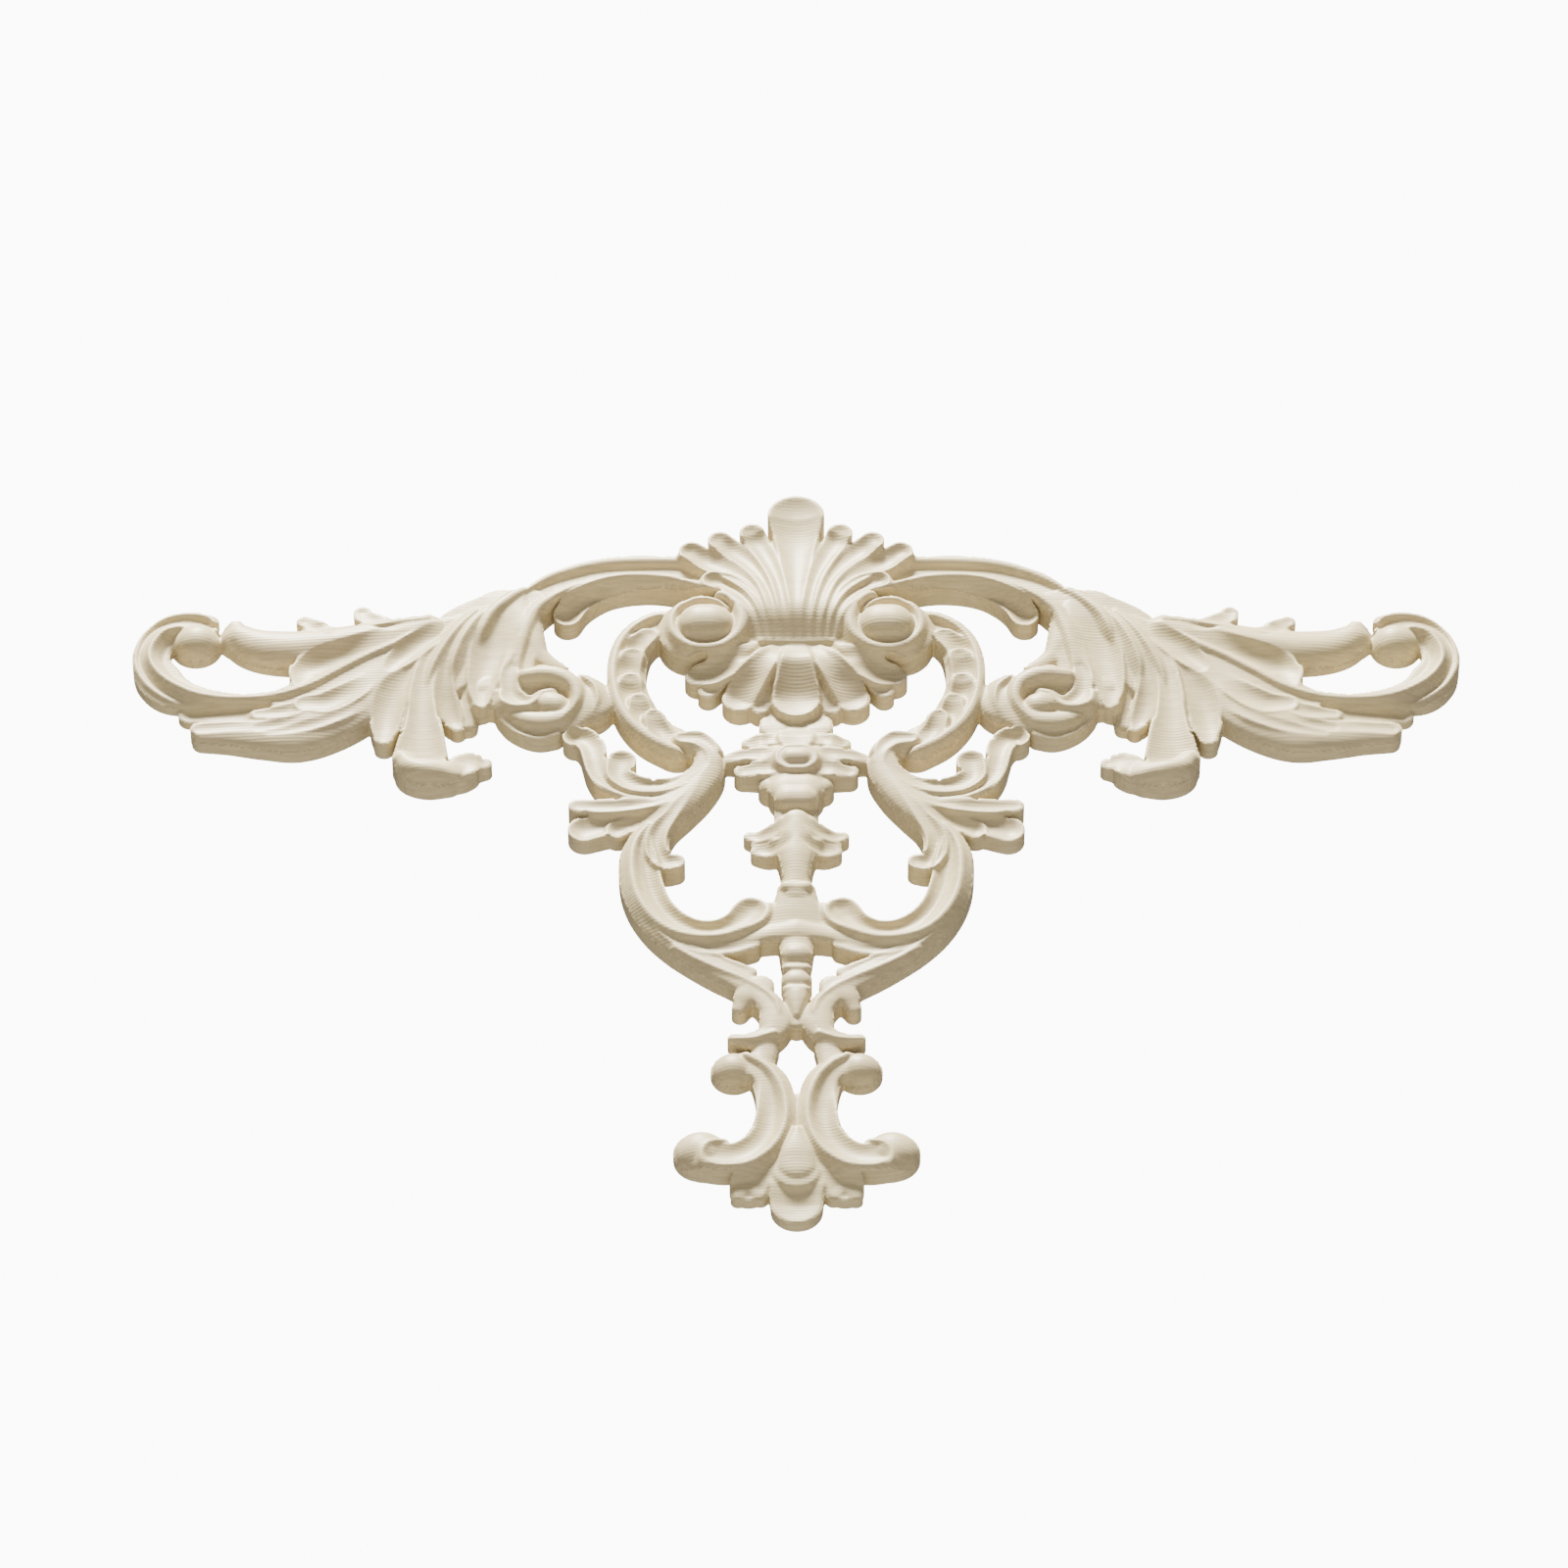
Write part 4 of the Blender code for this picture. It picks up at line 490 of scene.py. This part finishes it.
def cscroll(carve):
    # outer slope of the big scroll, running on as its tail
    carve([(-56, -95), (-59.4, -105), (-59, -117), (-56, -128), (-50.4, -138.4), (-43, -147),
           (-35, -154), (-27, -160), (-20, -165.4), (-14, -171.4), (-9, -178.6), (-7.6, -185.6),
           (-10.4, -191.6), (-16.6, -194.2), (-22.4, -193.4)],
          [5, 5, 5, 5, 5, 5.4, 5.4, 4.8, 4.4, 4.6, 5, 6, 5, 3.8, 2.4],
          [9, 9, 9, 9, 9, 9, 8.8, 8.6, 8.6, 8.8, 9, 9, 8.6, 8.2, 7.4],
          right=[5, 5.2, 5.4, 5.6, 5.8, 6, 6, 6, 5.4, 5, 5, 6, 4.4, 3.4, 2.4],
          crown=[2, 2.4, 3, 3, 3, 3, 3, 3, 2.4, 2, 2, 2, 2, 1.6, 1])
    carve([(-13, -169), (-18, -173), (-20.4, -178)], [5, 4.4, 3], [8.8, 8.4, 7],
          crown=[0.4, 0.8, 1.4])
    # inner face of the scroll, hollow, with its curled end
    carve([(-56.6, -97), (-55.6, -108), (-53.6, -119), (-50.4, -128.6), (-44.6, -136),
           (-37, -140.6), (-29, -141), (-22.4, -138), (-18.4, -134), (-16.8, -131.8)],
          [3.4, 5, 5, 4.8, 4.2, 3.8, 3.8, 4.6, 5.8, 5.8],
          [10, 10, 10, 10, 10, 10, 10, 10, 9.8, 9.6],
          right=[2.4, 3.6, 4.6, 5, 5.2, 5.4, 5.8, 6.8, 6.8, 6.2],
          dish=[0.8, 2, 2.6, 2.8, 2.8, 2.8, 2.8, 2.8, 2.8, 2.4])
    carve([(-10.4, -137.6), (-8.6, -131.6)], 3, [8.8, 9.4])
    # web behind the strands
    carve([(-38, -147), (-28, -147.6), (-19, -146), (-11, -140)], 3.4, 8)
    # its ridge
    carve([(-54, -90), (-58, -97), (-59.8, -104), (-60, -113), (-58.6, -122.6), (-55.6, -131),
           (-50.4, -139), (-44, -144), (-36, -146.4), (-28, -146), (-20, -142.8), (-13.6, -139),
           (-10.4, -133.6), (-11.4, -128.4)],
          [1.2, 1.3, 1.4, 1.5, 1.5, 1.5, 1.5, 1.5, 1.5, 1.5, 1.5, 1.5, 1.6, 1.4],
          [10.6, 10.8, 11, 11, 11, 11, 11, 11, 11, 10.8, 10.6, 10.4, 10.2, 9.8], crown=0.9,
          flank=1.1, bed=False)
    # strands that split off inside the tail
    carve([(-53, -136), (-47, -143.6), (-40, -148.6), (-32, -151.2), (-24, -151), (-16, -148)],
          [1.6, 2.4, 2.8, 2.8, 2.8, 3], [9.6, 9.6, 9.4, 9.2, 9, 8.8],
          dish=[0.3, 0.6, 0.9, 0.9, 0.8, 0.6])
    carve([(-46, -146), (-38, -152.4), (-30, -156.6), (-22, -160), (-16.4, -161.6)],
          [1.6, 2.6, 3, 3, 2.2], [9.4, 9.2, 9, 8.6, 8], dish=[0.3, 0.8, 1, 0.9, 0.4])
    carve([(-44, -150.6), (-36, -156.4), (-28, -161), (-20, -165.4), (-13, -170.4), (-8, -176),
           (-6, -182)], 1.1, [9.4, 9.4, 9.2, 9.2, 9.4, 9.6, 9.4], crown=0.7, flank=1, bed=False)
    carve([(-23.6, -194.2), (-16, -194.6), (-8, -192)], [0.9, 1, 1.1], [8.2, 9, 9.4], crown=0.6,
          flank=1, bed=False)


def stem(carve):
    carve([(0, -36), (0, -50), (0, -66), (0, -80), (0, -96), (0, -106), (0, -112)],
          [9, 10, 10, 8, 8.6, 6.6, 5], [6.4, 9.6, 10, 9.6, 9.6, 9.4, 9.4], crown=2)
    carve([(0, -110), (0, -140), (0, -160), (0, -176)], [5, 6.8, 5, 4], [9.4, 9.4, 9, 8], crown=2)
    # small petals over the flower
    carve([(0, -40), (0, -45)], [6, 7.4], [9.6, 10.4], dish=0.8, over=True)
    carve([(-8, -30), (-9, -38)], 4.8, [5.6, 7.4])
    carve([(-4, -45), (-11, -46), (-17.6, -47.4)], [3.4, 3.6, 2.8], [10.4, 9.6, 8.4],
          dish=[0.4, 1, 0.6], over=True)
    # long side petals
    carve([(-3, -53.6), (-11, -53.4), (-19, -54), (-26.4, -54.8)], [2.6, 3.6, 3.4, 2],
          [11.6, 10.8, 9.6, 8], dish=[0.4, 1, 1, 0.4], over=True)
    # lower petals
    carve([(-3, -58), (-10, -60.6), (-19.6, -61.4)], [3, 4.4, 3.4], [11.4, 10.2, 8.4],
          dish=[0.4, 1.4, 0.8], over=True)
    # flower and its eye
    carve([(-1.6, -57.6), (0, -57.6)], 6.4, 12.4, dish=0.8)
    carve([(-1.8, -57.4), (0, -57.4)], 3.8, 13.8, crown=2.6)
    # husk
    carve([(-4, -66), (-9.4, -68)], [5, 4.6], [10.8, 9], crown=2.4)
    carve([(-3, -72), (0, -72)], 7.2, 12.2, crown=3)
    carve([(-2.4, -77), (0, -77)], 5.8, 13.2, crown=3.4)
    # egg that the leaf pairs below the husk spring from
    carve([(0, -88), (0, -98), (0, -106), (0, -114), (0, -119)], [4.4, 6, 6.4, 5.2, 4.6],
          [12, 12, 12, 11.2, 10.6], crown=[1.6, 2.6, 3.4, 3, 2.4])
    carve([(-2, -90), (-5.4, -97)], [5, 4], [10, 8.6])
    carve([(-7, -96.4), (-14, -96.8)], 2.6, [8, 6])
    # leaf pairs, each drooping to an upturned tip
    carve([(-1.6, -96), (-6, -99.6), (-10, -101), (-14, -100.2)], [2.4, 3.2, 3.4, 2.8],
          [11.8, 9.8, 7.6, 6.4], dish=[0.4, 1, 1.2, 0.6], over=True)
    carve([(-1.4, -86), (-5, -90), (-9.6, -93), (-14, -93.6), (-17, -92.6)],
          [2.4, 3.2, 3.2, 3, 2.4], [12.6, 11.4, 9, 7, 6.2], dish=[0.4, 1, 1.2, 1, 0.6], over=True)
    # collar over a round shadowed throat
    carve([(-1, -125), (0, -125)], 4.6, 11.6, crown=3)
    carve([(-3.4, -122.4), (0, -123)], 2.2, 12.2, crown=1)
    # bell and the bar under it
    carve([(0, -124), (0, -132), (0, -138)], [7.2, 9, 10.8], [11, 10.6, 9.8], crown=2.4)
    carve([(-17, -145.4), (-9, -143.4), (0, -141.6)], [3, 3.8, 5], [8.8, 9.6, 10.4],
          crown=[1, 1.4, 2])
    # turned spindle
    carve([(-1, -153.6), (0, -153.6)], 4.8, 10.8, crown=3.4)
    carve([(-3.6, -161), (0, -161)], 1.7, 10, crown=1)
    carve([(-0.8, -166), (0, -166)], 4.8, 10.2, crown=3.4)
    carve([(-3.4, -171.2), (0, -171.2)], 1.7, 9.8, crown=1)
    carve([(0, -173.6), (0, -178), (0, -183)], [5, 3.4, 1.2], [10, 9.6, 9], crown=[2.6, 2, 0.6])


def foot(carve):
    # upper scrolls with their balls, back to back
    carve([(-20, -206), (-12, -209.6), (-8, -216.6), (-7.2, -226), (-8.8, -236), (-14.6, -245.4),
           (-23.6, -250), (-32, -248)], [5, 6, 6.3, 6.4, 6.4, 6.4, 7.2, 8.6], 7.6,
          right=[5, 5, 6, 6.6, 6.4, 6.5, 7, 8.6], crown=1.6)
    carve([(-15, -206.4), (-11.4, -212.4), (-9.6, -220), (-9.2, -228.6), (-10.6, -237.4),
           (-14.6, -244.6), (-21, -249), (-29, -249.6)], [4, 5, 5.2, 5.2, 5.4, 5.6, 5.4, 5], 9,
          dish=[0.6, 1.6, 2.2, 2.4, 2.4, 2.4, 2, 1], over=True)
    carve([(-18, -202.4), (-12.4, -206.4), (-8, -212), (-5.2, -219), (-3.8, -227), (-4.2, -235),
           (-6.8, -243.4), (-12, -250.6), (-19, -255), (-27, -255.6), (-33, -253)], 1.4,
          [8.8, 9.2, 9.6, 9.8, 9.8, 9.8, 9.8, 9.8, 9.8, 9.8, 9.6], crown=0.8, flank=1.1, bed=False)
    carve([(-22.5, -206.5)], 8.3, 9, crown=7.8)
    carve([(-33.8, -246)], 10, 9.6, crown=7.4)
    carve([(-26, -243.6), (-31, -245), (-33.6, -249), (-33, -254), (-30.4, -257)],
          [0.8, 1.1, 1.3, 1.2, 0.8], [9.2, 10, 10.2, 9.8, 8.6], crown=0.8, flank=1, bed=False)
    # neck to the crossing and web between the scrolls
    carve([(-11, -196), (-12.6, -204)], 4.8, 7.6, crown=2)
    carve([(0, -221), (0, -240)], [2, 3], 6.6, crown=0.6)
    carve([(-4, -239), (-7, -250)], 4, 6.6, crown=0.6)
    carve([(0, -176), (0, -186.4)], [4.4, 2.4], 7.8, crown=0.6)
    # side lobes, tip and tongue
    carve([(-12, -254), (-15.6, -260), (-17, -261.6)], [6, 6.6, 6.8], [6.8, 5.8, 5],
          dish=[0.4, 1, 1.4])
    carve([(-19, -262.6), (-20.8, -265.6)], 2.6, 5, crown=0.4)
    carve([(-15, -262.6), (-12.8, -265.2)], 2.8, 5, crown=0.4)
    carve([(0, -262), (0, -269.8)], [10, 9.3], [6.4, 4.9], dish=[0.6, 0.9])
    carve([(0, -250), (0, -256)], [7, 8.4], 7.6, crown=0.8)
    carve([(0, -238), (0, -247), (0, -253.6)], [2, 5.2, 6.6], [9, 9.6, 9], crown=1.6)


def front_face(relief):
    """Corners and polygons of the carved face, cut off along the outline."""
    inside, height = relief.inside, relief.height
    x, z = np.meshgrid(relief.x, relief.z)
    covered = inside > 0
    corner = np.full(covered.shape, -1)
    corner[covered] = np.arange(covered.sum())
    points = [np.column_stack([x[covered], z[covered], height[covered]])]
    total = covered.sum()
    cuts = []
    for near, far in (((slice(None), slice(0, -1)), (slice(None), slice(1, None))),
                      ((slice(0, -1), slice(None)), (slice(1, None), slice(None)))):
        cut = covered[near] != covered[far]
        index = np.full(covered.shape, -1)
        index[near][cut] = total + np.arange(cut.sum())
        total += cut.sum()
        a, b = inside[near][cut], inside[far][cut]
        t = np.clip(a / (a - b), CUT_MARGIN, 1 - CUT_MARGIN)
        points.append(np.column_stack([
            x[near][cut] + t * (x[far][cut] - x[near][cut]),
            z[near][cut] + t * (z[far][cut] - z[near][cut]),
            np.where(a > 0, height[near][cut], height[far][cut])]))
        cuts.append(index)
    across, upward = cuts
    corners = [corner[:-1, :-1], corner[:-1, 1:], corner[1:, 1:], corner[1:, :-1]]
    sides = [across[:-1, :-1], upward[:-1, 1:], across[1:, :-1], upward[:-1, :-1]]
    case = sum((c >= 0) * 2**k for k, c in enumerate(corners))
    polygons = []
    for number in range(1, 16):
        loop = []
        for k in range(4):
            here, there = number >> k & 1, number >> (k + 1) % 4 & 1
            if here:
                loop.append(corners[k][case == number])
            if here != there:
                loop.append(sides[k][case == number])
        polygons += np.column_stack(loop).tolist()
    return np.vstack(points), polygons


def closed_solid(points, polygons):
    """The carved face with its side walls and flat back."""
    count = len(points)
    front = np.column_stack([points[:, 0], -points[:, 2], points[:, 1]])
    back = front * (1, 0, 1)
    sides = set()
    for polygon in polygons:
        for a, b in zip(polygon, polygon[1:] + polygon[:1]):
            if (b, a) in sides:
                sides.remove((b, a))
            else:
                sides.add((a, b))
    faces = polygons + [[i + count for i in reversed(polygon)] for polygon in polygons]
    faces += [[b, a, a + count, b + count] for a, b in sorted(sides)]
    return np.vstack([front, back]) * MM, faces


class Nodes:
    """Short calls for wiring a material's node tree."""

    def __init__(self, material):
        material.use_nodes = True
        self.tree = material.node_tree
        self.shader = self.tree.nodes["Principled BSDF"]

    def add(self, kind, inputs=None, **settings):
        node = self.tree.nodes.new(kind)
        for name, value in settings.items():
            setattr(node, name, value)
        for name, value in (inputs or {}).items():
            if isinstance(value, bpy.types.NodeSocket):
                self.tree.links.new(value, node.inputs[name])
            else:
                node.inputs[name].default_value = value
        return node

    def link(self, source, name):
        self.tree.links.new(source, self.shader.inputs[name])


def wood():
    """Bare pale wood with level tool lines, a faint grain, painted highlights on edges and painted
    shade in cuts.
    """
    material = bpy.data.materials.new("bleached_wood")
    kit = Nodes(material)
    place = kit.add("ShaderNodeTexCoord").outputs["Object"]
    # grain running across the piece
    stretch = kit.add("ShaderNodeMapping", {"Vector": place, "Scale": GRAIN_SCALE})
    grain = kit.add("ShaderNodeTexNoise",
                    {"Vector": stretch.outputs[0], "Scale": 1, "Detail": GRAIN_DETAIL,
                     "Roughness": GRAIN_ROUGHNESS})
    fibres = kit.add("ShaderNodeMapping", {"Vector": place, "Scale": FIBRE_SCALE})
    fibre = kit.add("ShaderNodeTexNoise",
                    {"Vector": fibres.outputs[0], "Scale": 1, "Detail": FIBRE_DETAIL,
                     "Roughness": FIBRE_ROUGHNESS})
    # level lines left by the cutter, fading in and out
    line = kit.add("ShaderNodeTexWave",
                   {"Vector": place, "Scale": TOOL_LINES, "Distortion": TOOL_WAVER,
                    "Detail": TOOL_DETAIL, "Detail Scale": TOOL_DETAIL_SCALE},
                   wave_type="BANDS", bands_direction="Z", wave_profile="SIN")
    patches = kit.add("ShaderNodeTexNoise",
                      {"Vector": place, "Scale": PATCH_SCALE, "Detail": PATCH_DETAIL})
    shown = kit.add("ShaderNodeMapRange",
                    {"Value": patches.outputs["Fac"], "From Min": PATCH_FROM, "From Max": PATCH_TO})
    lines = kit.add("ShaderNodeMath", {0: line.outputs["Fac"], 1: shown.outputs[0]},
                    operation="MULTIPLY")
    # colour
    tone = kit.add("ShaderNodeValToRGB", {"Fac": grain.outputs["Fac"]})
    tone.color_ramp.elements[0].position = GRAIN_DARK
    tone.color_ramp.elements[0].color = WOOD_DARK
    tone.color_ramp.elements[1].position = GRAIN_PALE
    tone.color_ramp.elements[1].color = WOOD_PALE
    flecks = kit.add("ShaderNodeMapRange",
                     {"Value": fibre.outputs["Fac"], "From Min": FIBRE_FROM, "From Max": FIBRE_TO,
                      "To Min": FIBRE_DARK, "To Max": FIBRE_PALE})
    lined = kit.add("ShaderNodeMath", {0: lines.outputs[0], 1: TOOL_SHADE, 2: TOOL_BASE},
                    operation="MULTIPLY_ADD")
    shade = kit.add("ShaderNodeMath", {0: flecks.outputs[0], 1: lined.outputs[0]},
                    operation="MULTIPLY")
    streaked = kit.add("ShaderNodeMix", {0: 1, 6: tone.outputs["Color"], 7: shade.outputs[0]},
                       data_type="RGBA", blend_type="MULTIPLY")
    # on the carved face sharp edges get a painted highlight and the cuts between the strokes get
    # painted shade
    surface = kit.add("ShaderNodeNewGeometry")
    bend = surface.outputs["Pointiness"]
    normal = kit.add("ShaderNodeSeparateXYZ", {"Vector": surface.outputs["Normal"]})
    carved = kit.add("ShaderNodeMapRange",
                     {"Value": normal.outputs["Y"], "From Min": SIDE_TILT, "From Max": FACE_TILT})
    # painted highlight: the edges that bend outward most are painted pale
    edge = kit.add("ShaderNodeMapRange",
                   {"Value": bend, "From Min": EDGE_FROM, "From Max": EDGE_TO})
    painted_highlight_mask = kit.add("ShaderNodeMath", {0: edge.outputs[0], 1: carved.outputs[0]},
                  operation="MULTIPLY")
    highlighted = kit.add("ShaderNodeMix", {0: painted_highlight_mask.outputs[0], 6: streaked.outputs[2], 7: EDGE_HIGHLIGHT_COLOR},
                     data_type="RGBA")
    # painted shade: the hollows between the strokes are painted darker
    cut = kit.add("ShaderNodeMapRange",
                  {"Value": bend, "From Min": CUT_FROM, "From Max": CUT_TO, "To Max": CUT_SHARE})
    painted_shade = kit.add("ShaderNodeMath", {0: cut.outputs[0], 1: carved.outputs[0]},
                   operation="MULTIPLY")
    colour = kit.add("ShaderNodeMix", {0: painted_shade.outputs[0], 6: highlighted.outputs[2], 7: CUT_SHADE_COLOR},
                     data_type="RGBA")
    kit.link(colour.outputs[2], "Base Color")
    rough = kit.add("ShaderNodeMapRange",
                    {"Value": grain.outputs["Fac"], "To Min": SMOOTH, "To Max": ROUGH})
    kit.link(rough.outputs[0], "Roughness")
    # relief of the lines and fibres
    height = kit.add("ShaderNodeMath", {0: lines.outputs[0], 1: TOOL_DEPTH}, operation="MULTIPLY")
    rise = kit.add("ShaderNodeMath",
                   {0: fibre.outputs["Fac"], 1: FIBRE_DEPTH, 2: height.outputs[0]},
                   operation="MULTIPLY_ADD")
    bump = kit.add("ShaderNodeBump", {"Height": rise.outputs[0], "Distance": 1, "Strength": 1})
    kit.link(bump.outputs["Normal"], "Normal")
    kit.shader.inputs["Specular IOR Level"].default_value = SHINE
    return material


def plain(name, color, roughness):
    """One even colour."""
    material = bpy.data.materials.new(name)
    material.use_nodes = True
    shader = material.node_tree.nodes["Principled BSDF"]
    shader.inputs["Base Color"].default_value = color
    shader.inputs["Roughness"].default_value = roughness
    return material


def applique():
    relief = Relief()
    for region in (wing_end, leaf, arc, ring, knob, shell, sscroll, cscroll, stem, foot):
        region(relief.carve)
    relief.mirror()
    relief.finish()
    points, polygons = front_face(relief)
    corners, faces = closed_solid(points, polygons)
    mesh = bpy.data.meshes.new("applique")
    mesh.from_pydata(corners.tolist(), [], faces)
    mesh.polygons.foreach_set("use_smooth", np.arange(len(faces)) < len(polygons))
    mesh.materials.append(wood())
    piece = bpy.data.objects.new("applique", mesh)
    bpy.context.scene.collection.objects.link(piece)
    facets = piece.modifiers.new("Facets", "DECIMATE")
    facets.ratio = TRIANGLES / sum(len(face) - 2 for face in faces)
    return piece


def aim(item, target):
    """Turn a camera or lamp, which looks along its own -Z, towards a point."""
    item.rotation_euler = (Vector(target) - item.location).to_track_quat("-Z", "Y").to_euler()


def lamp(name, place, target, size, power, color):
    data = bpy.data.lights.new(name, "AREA")
    data.shape = "DISK"
    data.size = size
    data.energy = power
    data.color = color
    item = bpy.data.objects.new(name, data)
    item.location = place
    aim(item, target)
    bpy.context.scene.collection.objects.link(item)


def surroundings():
    mesh = bpy.data.meshes.new("floor")
    half = FLOOR_SIZE / 2
    corners = [(-half, -half, 0), (half, -half, 0), (half, half, 0), (-half, half, 0)]
    mesh.from_pydata(corners, [], [(0, 1, 2, 3)])
    mesh.materials.append(plain("floor_paint", FLOOR_COLOR, FLOOR_ROUGHNESS))
    floor = bpy.data.objects.new("floor", mesh)
    floor.location.z = FLOOR_LEVEL
    bpy.context.scene.collection.objects.link(floor)
    # the room lights softly, and looks white where the camera sees past the piece
    world = bpy.data.worlds.new("studio")
    world.use_nodes = True
    nodes, links = world.node_tree.nodes, world.node_tree.links
    soft = nodes["Background"]
    soft.inputs["Color"].default_value = WORLD_COLOR
    soft.inputs["Strength"].default_value = WORLD_STRENGTH
    seen = nodes.new("ShaderNodeBackground")
    seen.inputs["Color"].default_value = BACKGROUND
    seen.inputs["Strength"].default_value = BACKGROUND_STRENGTH
    path = nodes.new("ShaderNodeLightPath")
    either = nodes.new("ShaderNodeMixShader")
    links.new(path.outputs["Is Camera Ray"], either.inputs[0])
    links.new(soft.outputs[0], either.inputs[1])
    links.new(seen.outputs[0], either.inputs[2])
    links.new(either.outputs[0], nodes["World Output"].inputs["Surface"])
    bpy.context.scene.world = world
    lamp("key", KEY_PLACE, CENTRE, KEY_SIZE, KEY_POWER, KEY_COLOR)
    lamp("fill", FILL_PLACE, CENTRE, FILL_SIZE, FILL_POWER, FILL_COLOR)


def camera():
    data = bpy.data.cameras.new("camera")
    data.lens = LENS
    data.sensor_width = SENSOR
    data.clip_end = FARTHEST
    item = bpy.data.objects.new("camera", data)
    item.location = CAMERA_PLACE
    aim(item, CAMERA_TARGET)
    bpy.context.scene.collection.objects.link(item)
    bpy.context.scene.camera = item


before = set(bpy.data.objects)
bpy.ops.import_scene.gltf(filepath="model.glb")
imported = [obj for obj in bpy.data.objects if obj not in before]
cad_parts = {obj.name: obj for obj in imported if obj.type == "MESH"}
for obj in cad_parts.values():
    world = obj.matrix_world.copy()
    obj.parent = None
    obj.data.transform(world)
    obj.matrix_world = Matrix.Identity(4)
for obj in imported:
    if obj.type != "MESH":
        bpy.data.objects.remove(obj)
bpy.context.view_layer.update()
piece = applique()
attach(piece, "root")
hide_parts("carved_applique")
surroundings()
camera()
bpy.context.view_layer.update()
